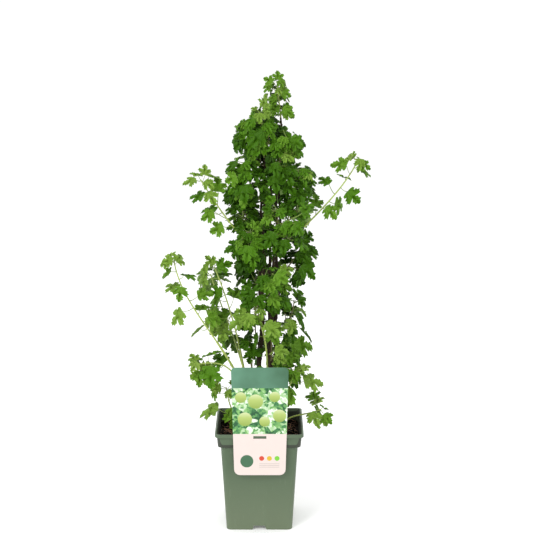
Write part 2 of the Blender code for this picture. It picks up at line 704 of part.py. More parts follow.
def add_leaf(around, owner, key, point, along, turn, size, leaves):
    """Tries a leaf at a few turns and stalk lengths, and keeps the first that fits."""
    for attempt in range(LEAF_TRIES):
        swing = turn + (attempt + 1) // 2 * LEAF_SWING * (-1) ** attempt
        trial_size = size * between(*LEAF_SIZE_CHANCE, *key, attempt, 9) * (1 - LEAF_TRIAL_FADE * attempt)
        place = leaf_place(point, along, swing, trial_size, (*key, attempt))
        if fits(around, owner, place):
            leaves.append(place)
            around.add(owner, leaf_shape(place, swell=KEPT_SWELL, whole=False), wood=False)
            around.add(owner, stalk_line(place), wood=False)
            return


def grow_branchlet(around, owner, key, point, along, turn, size, branchlets, leaves):
    """A short side twig with a leaf on each side and one near its end."""
    place = leaf_place(point, along, turn, size, (*key, 50))
    way = unit(place[1] - point + (0, 0, BRANCHLET_LIFT))
    reach = BRANCHLET_LENGTH * between(1 - BRANCHLET_CHANCE, 1 + BRANCHLET_CHANCE, *key, 51)
    ends = np.array((point, point + reach * way))
    heading = np.tile(way, (2, 1))
    shape = tube(ends, heading, (BRANCHLET_RADIUS, 0.8 * BRANCHLET_RADIUS), TWIG_SIDES)
    free = tube(np.array((point + BRANCHLET_FREE * (ends[1] - point), ends[1])), heading,
                (1.5 * BRANCHLET_RADIUS, 1.5 * BRANCHLET_RADIUS), TWIG_SIDES)
    if around.meets(free, pass_over=owner) or not around.in_own_space(owner, ends[1:]):
        add_leaf(around, owner, key, point, along, turn, size, leaves)
        return
    branchlets.append(shape)
    around.add(owner, free, wood=True)
    for j, share in enumerate(BRANCHLET_LEAVES):
        at = ends[0] + share * (ends[1] - ends[0])
        add_leaf(around, owner, (*key, j), at, way, turn + j * BRANCHLET_TURN,
                 BRANCHLET_LEAF_SHARE * size, leaves)


def largest_shell(mesh):
    """Keeps the largest shell of a mesh, so that a sealed hollow is filled and a scrap dropped."""
    work = bmesh.new()
    work.from_mesh(mesh)
    shells, seen = [], set()
    for face in work.faces:
        if face in seen:
            continue
        shell, waiting = [], [face]
        seen.add(face)
        while waiting:
            one = waiting.pop()
            shell.append(one)
            for edge in one.edges:
                for other in edge.link_faces:
                    if other not in seen:
                        seen.add(other)
                        waiting.append(other)
        shells.append(shell)
    shells.sort(key=len)
    for shell in shells[:-1]:
        bmesh.ops.delete(work, geom=shell, context="FACES")
    work.to_mesh(mesh)
    work.free()


def make_mass(name, spine, branchlets, leaves, leaf_green):
    """One solid of a spine, its side twigs and its leaves: a Boolean union on a collection."""
    mass = piece(name, spine.shape, leaf_green)
    parts = bpy.data.collections.new(name + "_parts")
    bpy.context.scene.collection.children.link(parts)
    for i, shape in enumerate(branchlets + [leaf_shape(place) for place in leaves]):
        part = piece(f"{name}_{i}", shape, leaf_green)
        bpy.context.scene.collection.objects.unlink(part)
        parts.objects.link(part)
    union = mass.modifiers.new("growth", "BOOLEAN")
    union.operation = "UNION"
    union.operand_type = "COLLECTION"
    union.collection = parts
    with bpy.context.temp_override(object=mass, active_object=mass, selected_objects=[mass]):
        bpy.ops.object.modifier_apply(modifier=union.name)
    for part in list(parts.objects):
        bpy.data.objects.remove(part)
    bpy.data.collections.remove(parts)
    largest_shell(mass.data)


def make_shoots(around, stems):
    """The bough of each shoot, and the spine of the mass that goes on from it."""
    finish = material("young_bark", *YOUNG_BARK_FINISH)
    spines = {}
    for name, (controls, share, radius, stem_number) in SHOOTS.items():
        stem = None if stem_number is None else stems[stem_number]
        curve = shoot_curve(controls, stem)
        bough, spine = split_shoot(curve, share, radius, stem is not None)
        piece(f"bough_{name}", bough.shape, finish, LIMB_SMOOTH)
        around.add(f"bough_{name}", bough.shape, wood=True)
        spines[f"leaves_{name}"] = (spine, SHOOT_BARE, SHOOT_SPACING)
    return spines


def lay_side_spines(around, stems):
    """The side twigs, level by level, each at the first trial that touches nothing."""
    spines = {}
    for level_number in range(SIDE_LEVELS):
        for number, stem in enumerate(stems):
            for attempt in range(LEAF_TRIES):
                spine = side_spine(stem, number, level_number, attempt)
                if not around.meets(spine.shape):
                    break
            name = f"leaves_{number + 1}_{level_number + 1}"
            spines[name] = (spine, SIDE_BARE, SIDE_SPACING)
            around.add(name, spine.shape, wood=True)
    return spines


def main():
    for old in list(bpy.data.objects):
        bpy.data.objects.remove(old)
    make_pot()
    make_soil()
    make_label()

    bark = material("bark", *BARK_FINISH)
    around = Neighbourhood()
    around.add("stool", make_stool(bark).shape, wood=True)
    stems = [main_stem(number) for number in range(STEM_COUNT)]
    for number, stem in enumerate(stems):
        piece(f"main_stem_{number + 1}", stem.shape, bark, LIMB_SMOOTH)
        around.add(f"main_stem_{number + 1}", stem.shape, wood=True)
    for name in ("pot", "plant_label"):
        mesh = bpy.data.objects[name].data
        faces = [tuple(polygon.vertices) for polygon in mesh.polygons]
        around.add(name, ([vertex.co[:] for vertex in mesh.vertices], faces), wood=True)

    spines = make_shoots(around, stems)
    for number, stem in enumerate(stems):
        spines[f"leaves_tip_{number + 1}"] = (tip_spine(stem, number), TIP_BARE, SIDE_SPACING)
    for name, (spine, _, _) in spines.items():
        around.add(name, spine.shape, wood=True)
    spines |= lay_side_spines(around, stems)
    around.spines = {name: spine.points for name, (spine, _, _) in spines.items()}

    leaf_green = material("leaf", *LEAF_FINISH)
    total = 0
    for number, (name, (spine, first_bare, spacing)) in enumerate(spines.items()):
        branchlets, leaves = grow_leaves(around, name, number, spine, first_bare, spacing)
        make_mass(name, spine, branchlets, leaves, leaf_green)
        print(name, len(branchlets), "side twigs", len(leaves), "leaves")
        total += len(leaves)
    print("leaves in all", total)


main()
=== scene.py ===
# %% [markdown]
# # A gooseberry bush in its square nursery pot
#
# The bush stands in a sage green pot of black peat, with a printed card hooked under the pot's
# lip. Five brown stems rise close together, green shoots arch out of them, and lobed leaves on
# thin stalks fill the space round both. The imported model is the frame: it gives the place and
# size of every stem, bough and mass of leaves, in metres, and nothing here moves or resizes it.

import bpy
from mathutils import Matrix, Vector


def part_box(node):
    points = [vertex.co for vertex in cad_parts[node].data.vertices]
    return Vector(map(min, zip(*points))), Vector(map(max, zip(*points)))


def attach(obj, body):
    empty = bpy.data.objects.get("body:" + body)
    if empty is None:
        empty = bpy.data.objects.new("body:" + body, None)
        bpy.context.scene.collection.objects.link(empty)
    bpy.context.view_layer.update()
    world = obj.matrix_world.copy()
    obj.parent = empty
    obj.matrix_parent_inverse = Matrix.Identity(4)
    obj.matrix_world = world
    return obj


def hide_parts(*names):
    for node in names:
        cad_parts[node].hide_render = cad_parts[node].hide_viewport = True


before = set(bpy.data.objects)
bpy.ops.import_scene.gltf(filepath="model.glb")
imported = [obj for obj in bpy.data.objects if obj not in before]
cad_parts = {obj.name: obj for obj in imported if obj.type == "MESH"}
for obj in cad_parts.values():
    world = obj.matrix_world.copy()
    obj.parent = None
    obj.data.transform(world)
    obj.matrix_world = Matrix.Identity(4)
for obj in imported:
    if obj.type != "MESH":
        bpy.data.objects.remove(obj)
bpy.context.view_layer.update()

import bpy
import numpy as np
from mathutils import Vector
from mathutils.bvhtree import BVHTree

# %% [markdown]
# ## The camera
#
# The photograph was taken from the front, a little above the plant, with a long lens: the pot's
# rim shows as a thin band and its sides hardly converge. A camera 2.3 m away that looks 12
# degrees down gives the same band. A shorter lens, nearer, would open the rim too far.

# %% Camera
CAMERA_PLACE = (0.0122, -2.300, 0.9361)
CAMERA_DOWN = np.radians(11.914)
CAMERA_LENS = 93.77
SENSOR_WIDTH = 36.0

camera = bpy.data.objects.new("camera", bpy.data.cameras.new("camera"))
camera.data.lens = CAMERA_LENS
camera.data.sensor_width = SENSOR_WIDTH
camera.location = CAMERA_PLACE
camera.rotation_euler = (np.pi / 2 - CAMERA_DOWN, 0, 0)
bpy.context.scene.collection.objects.link(camera)
bpy.context.scene.camera = camera
print("camera:", CAMERA_PLACE, "lens:", CAMERA_LENS)

# %% [markdown]
# ## Shader maths
#
# Blender's finishes are made of nodes. Wiring each one by hand hides the idea behind the wires,
# so a small class wraps a socket and lets `1 - mask` or `height * 0.3` add its Math nodes. All
# other nodes come from one method that takes a type, its settings and its sockets.

# %% Values and finishes
class Value:
    """A socket of a finish: +, - and * with numbers or other Values add Math nodes."""

    def __init__(self, finish, socket):
        self.finish, self.socket = finish, socket

    def maths(self, operation, *others):
        return self.finish.maths(operation, self, *others)

    def __add__(self, other):
        return self.maths("ADD", other)

    __radd__ = __add__

    def __sub__(self, other):
        return self.maths("SUBTRACT", other)

    def __rsub__(self, other):
        return self.finish.maths("SUBTRACT", other, self)

    def __mul__(self, other):
        return self.maths("MULTIPLY", other)

    __rmul__ = __mul__

    def above(self, limit):
        """1 where the value is over the limit, and 0 elsewhere."""
        return self.maths("GREATER_THAN", limit)

    def below(self, limit):
        return self.maths("LESS_THAN", limit)

    def within(self, middle, half):
        """1 where the value is less than half away from the middle."""
        return (self - middle).maths("ABSOLUTE").below(half)


class Finish:
    """A material with one Principled shader."""

    def __init__(self, name, sockets):
        self.material = bpy.data.materials.new(name)
        self.material.use_nodes = True
        self.tree = self.material.node_tree
        self.shader = self.tree.nodes["Principled BSDF"]
        self.set(self.shader, sockets)

    def set(self, node, sockets):
        for name, value in sockets.items():
            socket = node.inputs[name]
            if isinstance(value, Value):
                self.tree.links.new(value.socket, socket)
            elif socket.type == "RGBA":
                socket.default_value = (*value, 1.0)
            else:
                socket.default_value = value

    def node(self, kind, settings, sockets, output=0):
        """Any node, by type: its settings are set first, then its sockets by name or number."""
        node = self.tree.nodes.new(kind)
        for name, value in settings.items():
            if name == "stops":
                ramp = node.color_ramp.elements
                while len(ramp) < len(value):
                    ramp.new(1.0)
                for stop, (place, colour) in zip(ramp, value):
                    stop.position = place
                    stop.color = (*colour, 1.0)
            else:
                setattr(node, name, value)
        self.set(node, sockets)
        return Value(self, node.outputs[output])

    def maths(self, operation, *values):
        return self.node("ShaderNodeMath", {"operation": operation}, dict(enumerate(values)))

    def mix(self, share, first, second):
        """The first colour where share is 0 and the second where it is 1."""
        colour_sockets = {0: share, 6: first, 7: second}
        return self.node("ShaderNodeMix", {"data_type": "RGBA"}, colour_sockets, 2)

    def places(self, stretch=(1.0, 1.0, 1.0)):
        """Object coordinates in metres, stretched along the axes."""
        place = self.node("ShaderNodeTexCoord", {}, {}, "Object")
        return self.node("ShaderNodeMapping", {}, {"Vector": place, "Scale": stretch})

    def part(self, vector, number=0):
        """One number of a vector."""
        return self.node("ShaderNodeSeparateXYZ", {}, {0: vector}, number)

    def axis(self, number):
        """The x, y or z coordinate alone."""
        return self.part(self.places(), number)

    def noise(self, scale, detail=3.0, stretch=(1.0, 1.0, 1.0)):
        return self.node("ShaderNodeTexNoise", {}, {"Vector": self.places(stretch), "Scale": scale,
                                                    "Detail": detail})

    def cells(self, scale, feature="F1", output="Distance"):
        return self.node("ShaderNodeTexVoronoi", {"feature": feature},
                         {"Vector": self.places(), "Scale": scale}, output)

    def ramp(self, value, *stops):
        return self.node("ShaderNodeValToRGB", {"stops": stops}, {0: value})

    def paint(self, colour):
        self.set(self.shader, {"Base Color": colour})

    def bump(self, height, strength, distance):
        """Relief: the height in units of distance, in metres, tilts the shading."""
        normal = self.node("ShaderNodeBump", {}, {"Height": height, "Strength": strength,
                                                  "Distance": distance})
        self.set(self.shader, {"Normal": normal})


# %% [markdown]
# ## Leaf finishes
#
# A gooseberry leaf is mid green and a little glossy above, and paler and dull below. Leaves deep
# in the crown are dealt darker greens, which are painted shade, and those on young shoots are
# yellow green. One finish with a colour pattern could do it, but a pattern has no hold on
# hundreds of joined blades. So each leaf is dealt a plain green by its spray, and the veins are a
# relief. Five main veins run from the foot of the blade into its lobes: the relief finds them
# from the blade's own flat map, u forward and v sideways, so they lie right on every leaf however
# it is bent and turned.

# %% Leaf finishes
# Deep and shaded are painted shade: darker greens for the leaves inside the crown.
GREENS = {
    "deep": (0.024, 0.072, 0.003),
    "shaded": (0.042, 0.122, 0.004),
    "middle": (0.070, 0.184, 0.008),
    "bright": (0.112, 0.244, 0.018),
    "fresh": (0.170, 0.296, 0.038),
    "young": (0.238, 0.372, 0.066),
}
UNDERSIDES = {"under": (0.092, 0.178, 0.030), "under_young": (0.195, 0.320, 0.082)}
LEAF_NAMES = [*GREENS, *UNDERSIDES]
GREEN_ROUGHNESS, UNDERSIDE_ROUGHNESS = 0.42, 0.62
BLADE_MAP = "blade"
VEIN_TURNS = np.radians((0, 40, -40, 88, -88))
VEIN_WIDTH, VEIN_HEIGHT = 0.10, 3.0
NET_SCALE, NET_WIDTH = 420.0, 0.12


def leaf_finish(name, colour, roughness):
    """A plain green with veins as a relief: the distance to the nearest of five rays, cut off."""
    finish = Finish("leaf_" + name, {"Base Color": colour, "Roughness": roughness,
                                     "Specular IOR Level": 0.12})
    flat_map = finish.node("ShaderNodeUVMap", {"uv_map": BLADE_MAP}, {})
    u, v = finish.part(flat_map), finish.part(flat_map, 1)
    swell = VEIN_WIDTH
    for turn in VEIN_TURNS:
        beside = (u * float(np.sin(turn)) - v * float(np.cos(turn))).maths("ABSOLUTE")
        behind = (u * float(np.cos(turn)) + v * float(np.sin(turn))).below(0.0)
        swell = (beside + behind).maths("MINIMUM", swell)
    net = finish.cells(NET_SCALE, "DISTANCE_TO_EDGE").maths("MINIMUM", NET_WIDTH)
    height = swell * (VEIN_HEIGHT / VEIN_WIDTH) + net * 2.0 + finish.noise(900.0) * 0.3
    finish.bump(height, 1.0, 0.0006)
    return finish.material


leaf_finishes = [leaf_finish(name, colour, roughness)
                 for colours, roughness in ((GREENS, GREEN_ROUGHNESS),
                                            (UNDERSIDES, UNDERSIDE_ROUGHNESS))
                 for name, colour in colours.items()]
print("leaf finishes:", LEAF_NAMES)

# %% [markdown]
# ## Finishes of the wood
#
# Two-year-old stems are grey brown with fine cracks along them. This year's shoots and the leaf
# stalks are smooth and yellow green. The cracks run along the limb, so the noise behind them is
# stretched along Z, which the upright stems follow closely.

# %% Wood finishes
def bark_finish():
    finish = Finish("stem_bark", {"Roughness": 0.78, "Specular IOR Level": 0.2})
    streaks = finish.noise(900.0, 6.0, (1.0, 1.0, 0.12))
    patches = finish.noise(70.0)
    # The bark's own brown, made darker as painted shade for the inside of the bush.
    colour = finish.ramp(streaks * 0.7 + patches * 0.3, (0.30, (0.009, 0.006, 0.003)),
                         (0.52, (0.036, 0.024, 0.012)), (0.72, (0.115, 0.082, 0.045)))
    finish.paint(colour)
    finish.bump(streaks, 0.8, 0.0008)
    return finish.material


def green_finish(name, light, dark):
    """A smooth young skin: two greens in long soft patches."""
    finish = Finish(name, {"Roughness": 0.45})
    patches = finish.noise(55.0, 2.0, (1.0, 1.0, 0.4))
    finish.paint(finish.mix(patches, light, dark))
    finish.bump(finish.noise(1400.0, 3.0, (1.0, 1.0, 0.2)), 0.3, 0.0003)
    return finish.material


bark = bark_finish()
shoot_green = green_finish("shoot_green", (0.420, 0.520, 0.120), (0.270, 0.370, 0.070))
stalk_green = green_finish("stalk_green", (0.240, 0.340, 0.070), (0.130, 0.210, 0.030))
twig_brown = green_finish("twig_brown", (0.200, 0.150, 0.060), (0.110, 0.120, 0.035))
print("wood finishes: stems, shoots, stalks, twigs")

# %% [markdown]
# ## Meshes from arrays
#
# A round skin needs the same few things each time: rings of points, four-cornered faces between
# neighbouring rings, and a fan at each end. Worked out for all limbs of a kind at once, that is
# a handful of array sums. A curve object with a bevel would be as round, but its surface could
# carry no knots and cracks.

# %% Arrays of points and faces
GAP = 0.0003


def unit(vectors):
    """The same directions at length 1."""
    vectors = np.asarray(vectors, float)
    return vectors / np.linalg.norm(vectors, axis=-1, keepdims=True)


def ring_faces(stations, sides):
    """Faces over rings that are numbered along the limb, then the two end points."""
    here = np.arange(sides)
    after = (here + 1) % sides
    start = np.arange(stations - 1)[:, None] * sides
    quads = np.stack((start + here, start + after, start + sides + after, start + sides + here), -1)
    last = (stations - 1) * sides
    low = np.stack((np.full(sides, stations * sides), after, here), -1)
    high = np.stack((np.full(sides, stations * sides + 1), last + here, last + after), -1)
    return [quads.reshape(-1, 4), np.concatenate((low, high))]


def repeated(points, faces):
    """Many like shapes as one: points are (shape, point, 3), and faces count on between shapes."""
    step = np.arange(len(points))[:, None, None] * points.shape[1]
    return points.reshape(-1, 3), [(face + step).reshape(-1, face.shape[1]) for face in faces]


def joined(*shapes):
    """Several shapes as one."""
    starts = np.cumsum([0] + [len(points) for points, _ in shapes])
    faces = [face + start for (_, group), start in zip(shapes, starts) for face in group]
    return np.concatenate([points for points, _ in shapes]), faces


def lofted(rings):
    """A closed skin over one run of rings, with a fan to the middle of the first and the last."""
    middles = rings[[0, -1]].mean(axis=1)
    points = np.concatenate((rings.reshape(-1, 3), middles))
    return points, ring_faces(*rings.shape[:2])


def tubes(paths, radii, sides, relief=0.0):
    """Closed round skins on many paths: centre + radius (cos a * first + sin a * second).

    First and second are square to the path, and first lies across the plane in which it bends.
    Relief is a share of the radius, for each station and side.
    """
    paths = np.asarray(paths, float)
    count, stations = paths.shape[:2]
    along = unit(np.gradient(paths, axis=1))
    bend = np.cross(along[:, 0], along[:, -1])
    chord = unit(paths[:, -1] - paths[:, 0])
    helper = np.where(np.abs(chord[:, 2:]) < 0.9, (0.0, 0.0, 1.0), (1.0, 0.0, 0.0))
    curved = np.linalg.norm(bend, axis=1, keepdims=True) > 0.2
    normal = np.where(curved, bend, np.cross(chord, helper))[:, None]
    second = unit(np.cross(along, normal))
    first = np.cross(second, along)
    turns = np.arange(sides) * 2 * np.pi / sides
    spokes = (np.cos(turns)[:, None] * first[:, :, None]
              + np.sin(turns)[:, None] * second[:, :, None])
    reach = np.broadcast_to(radii, (count, stations))[..., None] * (1 + relief * np.ones(sides))
    rings = paths[:, :, None] + reach[..., None] * spokes
    points = np.concatenate((rings.reshape(count, -1, 3), paths[:, [0, -1]]), axis=1)
    return repeated(points, ring_faces(stations, sides))


def piece(name, shape, finishes, slots=None, smooth_below=45, flat_map=None):
    """A mesh object at the origin, shaded smooth over edges that bend less than the angle."""
    points, faces = shape
    mesh = bpy.data.meshes.new(name)
    totals = np.concatenate([np.full(len(face), face.shape[1]) for face in faces])
    mesh.vertices.add(len(points))
    mesh.vertices.foreach_set("co", points.astype(np.float32).ravel())
    mesh.loops.add(int(totals.sum()))
    corners = np.concatenate([face.ravel() for face in faces])
    mesh.loops.foreach_set("vertex_index", corners.astype(np.int32))
    mesh.polygons.add(len(totals))
    starts = np.cumsum(totals) - totals
    mesh.polygons.foreach_set("loop_start", starts.astype(np.int32))
    for finish in finishes:
        mesh.materials.append(finish)
    if slots is not None:
        mesh.polygons.foreach_set("material_index", np.asarray(slots, np.int32))
    if flat_map is not None:
        layer = mesh.uv_layers.new(name=BLADE_MAP)
        layer.uv.foreach_set("vector", flat_map[corners].astype(np.float32).ravel())
    mesh.update(calc_edges=True)
    mesh.validate()
    mesh.shade_smooth()
    mesh.set_sharp_from_angle(angle=np.radians(smooth_below))
    made = bpy.data.objects.new(name, mesh)
    bpy.context.scene.collection.objects.link(made)
    print(name, "points:", len(points), "triangles:", int((totals - 2).sum()))
    return made


def place(made, slot, *nodes):
    """The piece rides on the plant's one body and stands for its nodes."""
    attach(made, "root")
    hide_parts(*nodes)
    return made


# %% [markdown]
# ## The pot
#
# The pot is one moulding: a tapering square body, a step out to a collar, and a flat lip. Every
# level of it is a square with rounded corners, so it is a profile carried round that square,
# up the outside, over the lip and down the inside. Each corner of the profile is eased, because
# a moulded edge is never sharp. A Boolean then cuts the four channels under it, which would
# not follow the rings.

# %% Pot shape
LIP_HALF, _, POT_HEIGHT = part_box("pot")[1]
LIP_HEIGHT = 0.0060
LIP_THICK = 0.0027
COLLAR_TOP_HALF, COLLAR_FOOT_HALF, COLLAR_FOOT = 0.0719, 0.0702, 0.1527
BODY_TOP_HALF, BODY_TOP, FOOT_HALF = 0.0654, 0.1512, 0.0565
WALL, FLOOR_TOP = 0.0018, 0.0100
CORNER_RADIUS = 0.0085
EDGE_EASE = 0.0008
POT_SMOOTH_BELOW = 35
CHANNEL_HALVES, CHANNEL_HEIGHT, CHANNEL_DEPTH = (0.0121, 0.0098), 0.0076, 0.034


def eased(profile, ease, steps=4):
    """Each inner corner as a short curve: (1-t)^2 before + 2t(1-t) corner + t^2 after."""
    profile = np.asarray(profile, float)
    t = np.linspace(0, 1, steps)[:, None]
    runs = [profile[:1]]
    for before, corner, after in zip(profile, profile[1:], profile[2:]):
        reaches = [min(ease / np.linalg.norm(end - corner), 0.45) for end in (before, after)]
        start, end = (corner + reach * (side - corner)
                      for reach, side in zip(reaches, (before, after)))
        runs.append((1 - t) ** 2 * start + 2 * t * (1 - t) * corner + t * t * end)
    return np.concatenate(runs + [profile[-1:]])


def square_rings(halves, corners, levels, arc_steps=9, flat_steps=6):
    """Squares with rounded corners: quarter circles about (half - corner), even steps between."""
    halves, corners, levels = (np.asarray(part, float)[:, None, None]
                               for part in (halves, corners, levels))
    quarter = (np.arange(4) * np.pi / 2)[:, None]
    arc = quarter + np.linspace(0, np.pi / 2, arc_steps)
    middle = np.sqrt(2) * (halves - corners)
    x = middle * np.cos(quarter + np.pi / 4) + corners * np.cos(arc)
    y = middle * np.sin(quarter + np.pi / 4) + corners * np.sin(arc)
    arcs = np.stack((x, y, levels + 0 * x), -1)
    flat_start, flat_end = arcs[:, :, -1:], np.roll(arcs[:, :, :1], -1, axis=1)
    shares = np.linspace(0, 1, flat_steps + 2)[1:-1, None]
    flats = flat_start + shares * (flat_end - flat_start)
    return np.concatenate((arcs, flats), axis=2).reshape(len(halves), -1, 3)


outside = [(FOOT_HALF - 0.004, 0), (FOOT_HALF, 0), (BODY_TOP_HALF, BODY_TOP),
           (COLLAR_FOOT_HALF, COLLAR_FOOT), (COLLAR_TOP_HALF, POT_HEIGHT - LIP_HEIGHT),
           (LIP_HALF, POT_HEIGHT - LIP_HEIGHT), (LIP_HALF, POT_HEIGHT),
           (LIP_HALF - LIP_THICK, POT_HEIGHT)]
floor_half = FOOT_HALF + (BODY_TOP_HALF - FOOT_HALF) * FLOOR_TOP / BODY_TOP - WALL
inside = [(floor_half, FLOOR_TOP), (BODY_TOP_HALF - WALL, BODY_TOP - WALL),
          (COLLAR_FOOT_HALF - WALL, COLLAR_FOOT), (COLLAR_TOP_HALF - WALL, POT_HEIGHT - LIP_HEIGHT),
          (LIP_HALF - LIP_THICK, POT_HEIGHT - EDGE_EASE / 2)]
profile = eased(outside + inside[:0:-1] + [inside[0], (floor_half - 0.01, FLOOR_TOP)], EDGE_EASE)
past_lip = np.arange(len(profile)) > np.argmax(profile[:, 1] + profile[:, 0])
corner_radii = np.where(past_lip, CORNER_RADIUS - WALL, CORNER_RADIUS)
pot_rings = square_rings(profile[:, 0], corner_radii, profile[:, 1])
print("pot rings:", pot_rings.shape)


# %% [markdown]
# The plastic is a matt sage green with the fine grain of the mould and faint marks where pots
# were stacked. It is painted lighter near the foot, as painted light from the floor. Inside the
# collar it is dark: peat dust and painted shade.

# %% Pot finish and piece
INNER_DUST_AND_SHADE_HALF = COLLAR_TOP_HALF - 0.0012


def pot_finish():
    finish = Finish("pot_plastic", {})
    height = finish.axis(2)
    # Painted light: the wall grows lighter towards the foot, as if lit from the floor.
    floor_light_share = (1 - height * 9.0).maths("MAXIMUM", 0.0)
    cloud = finish.noise(14.0, 4.0)
    colour = finish.mix(floor_light_share * 0.9, (0.070, 0.112, 0.058), (0.130, 0.168, 0.098))
    scuffs = finish.noise(240.0, 5.0, (1.0, 1.0, 0.15)).above(0.66)
    colour = finish.mix(scuffs * cloud * 0.10, colour, (0.30, 0.36, 0.27))
    x, y = (finish.axis(number).maths("ABSOLUTE") for number in (0, 1))
    # Peat dust and painted shade: the inside of the collar is darkened.
    inner = x.maths("MAXIMUM", y).below(INNER_DUST_AND_SHADE_HALF) * height.above(BODY_TOP)
    colour = finish.mix(inner * 0.75, colour, (0.010, 0.009, 0.005))
    finish.set(finish.shader, {"Base Color": colour, "Roughness": cloud * 0.25 + 0.34})
    finish.bump(finish.noise(1800.0, 2.0) + scuffs * 0.2, 0.25, 0.0002)
    return finish.material


def channel_cutters():
    """Four bars, narrower at the top, from past the foot's edge to CHANNEL_DEPTH inside it."""
    low, high = CHANNEL_HALVES
    below = 0.002
    half = np.array((low + (low - high) * below / CHANNEL_HEIGHT, high))
    x = np.array((-half[0], half[0], half[1], -half[1]))
    z = np.array((-below, -below, CHANNEL_HEIGHT, CHANNEL_HEIGHT))
    reaches = np.array((FOOT_HALF - CHANNEL_DEPTH, FOOT_HALF + 0.01))
    bar = np.stack(np.broadcast_arrays(x, reaches[:, None], z), -1)
    spin = np.array([((np.cos(turn), -np.sin(turn), 0), (np.sin(turn), np.cos(turn), 0), (0, 0, 1))
                     for turn in np.arange(4) * np.pi / 2])
    bars = np.einsum("nij,skj->nski", spin, bar)
    return joined(*(lofted(one[::-1]) for one in bars))


pot = piece("pot_moulding", lofted(pot_rings), [pot_finish()], smooth_below=POT_SMOOTH_BELOW)
cutter = piece("channel_cutter", channel_cutters(), [])
cut = pot.modifiers.new("channels", "BOOLEAN")
cut.operation = "DIFFERENCE"
cut.object = cutter
with bpy.context.temp_override(object=pot, active_object=pot, selected_objects=[pot]):
    bpy.ops.object.modifier_apply(modifier=cut.name)
bpy.data.objects.remove(cutter)
pot.data.shade_smooth()
pot.data.set_sharp_from_angle(angle=np.radians(POT_SMOOTH_BELOW))
place(pot, "pot_plastic", "pot")
print("pot faces after the cut:", len(pot.data.polygons))

# %% [markdown]
# ## The peat
#
# Potting peat is a rough dark surface: humps, crumbs of all sizes, and red brown rootlets. The
# humps are a sum of waves that lifts the top of a square body, and the crumbs and rootlets are
# small meshes laid on them, because only real shapes give the deep black gaps between them.

# %% Peat body
SOIL_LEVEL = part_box("potting_soil")[1].z
waves = np.random.default_rng(31)
WAVE_COUNT = 26
wave_ways = unit(waves.normal(size=(WAVE_COUNT, 2)))
wave_lengths = np.geomspace(0.060, 0.005, WAVE_COUNT)
wave_starts = waves.uniform(0, 2 * np.pi, WAVE_COUNT)
WAVE_HEIGHT, PEAT_SINK = 0.014, 0.0012


def ground(x, y):
    """Height of the peat: the level and a sum of waves, higher where they are longer."""
    across = x[..., None] * wave_ways[:, 0] + y[..., None] * wave_ways[:, 1]
    humps = np.sin(2 * np.pi * across / wave_lengths + wave_starts) * wave_lengths
    return SOIL_LEVEL - PEAT_SINK + WAVE_HEIGHT * humps.sum(axis=-1)


wall_profile = np.array([(half - GAP, z + GAP) for half, z in inside[:3]])
top_half = np.interp(SOIL_LEVEL, [z for _, z in inside], [half for half, _ in inside]) - GAP
top_halves = np.linspace(top_half, 0.002, 42)
halves = np.concatenate((wall_profile[:, 0], top_halves))
levels = np.concatenate((wall_profile[:, 1], np.full(len(top_halves), SOIL_LEVEL)))
peat_rings = square_rings(halves, np.minimum(CORNER_RADIUS - WALL, 0.9 * halves), levels, 7, 24)
top = peat_rings[len(wall_profile):]
top[..., 2] = ground(top[..., 0], top[..., 1])
print("peat height range:", top[..., 2].min().round(4), top[..., 2].max().round(4))

# %% Crumbs and rootlets
CRUMBS, CRUMB_ROOM, CRUMB_LEAST, CRUMB_SPREAD = 900, 0.003, 0.0006, 0.0026
ROOTLETS, ROOTLET_ROOM, ROOTLET_EDGE = 90, 0.006, 0.002
ROOTLET_LENGTHS, ROOTLET_RADII = (0.015, 0.050), (0.00022, 0.00050)
crumb_draw = np.random.default_rng(57)


def crumbs():
    """Lumps: the twenty-faced solid, its points pushed in and out at random and squashed."""
    golden = (1 + 5 ** 0.5) / 2
    corners = np.array([(0, s, t * golden) for s in (-1, 1) for t in (-1, 1)], float)
    corners = unit(np.concatenate([np.roll(corners, i, axis=1) for i in range(3)]))
    gaps = np.linalg.norm(corners[:, None] - corners[None], axis=2)
    near = gaps < 1.1
    faces = np.array([(i, j, k) for i in range(12) for j in range(i) for k in range(j)
                      if near[i, j] and near[j, k] and near[i, k]])
    a, b, c = (corners[faces[:, i]] for i in range(3))
    inwards = (np.cross(b - a, c - a) * a).sum(axis=1) < 0
    faces[inwards] = faces[inwards][:, ::-1]
    places = crumb_draw.uniform(-1, 1, (CRUMBS, 2)) * (top_half - CRUMB_ROOM)
    sizes = CRUMB_LEAST + CRUMB_SPREAD * crumb_draw.random((CRUMBS, 1, 1)) ** 3
    lumps = corners * crumb_draw.uniform(0.65, 1.25, (CRUMBS, 12, 1))
    lumps = lumps * sizes * crumb_draw.uniform(0.6, 1.3, (CRUMBS, 1, 3))
    seats = np.column_stack((places, ground(places[:, 0], places[:, 1]) + 0.3 * sizes[:, 0, 0]))
    return repeated(seats[:, None] + lumps, [faces])


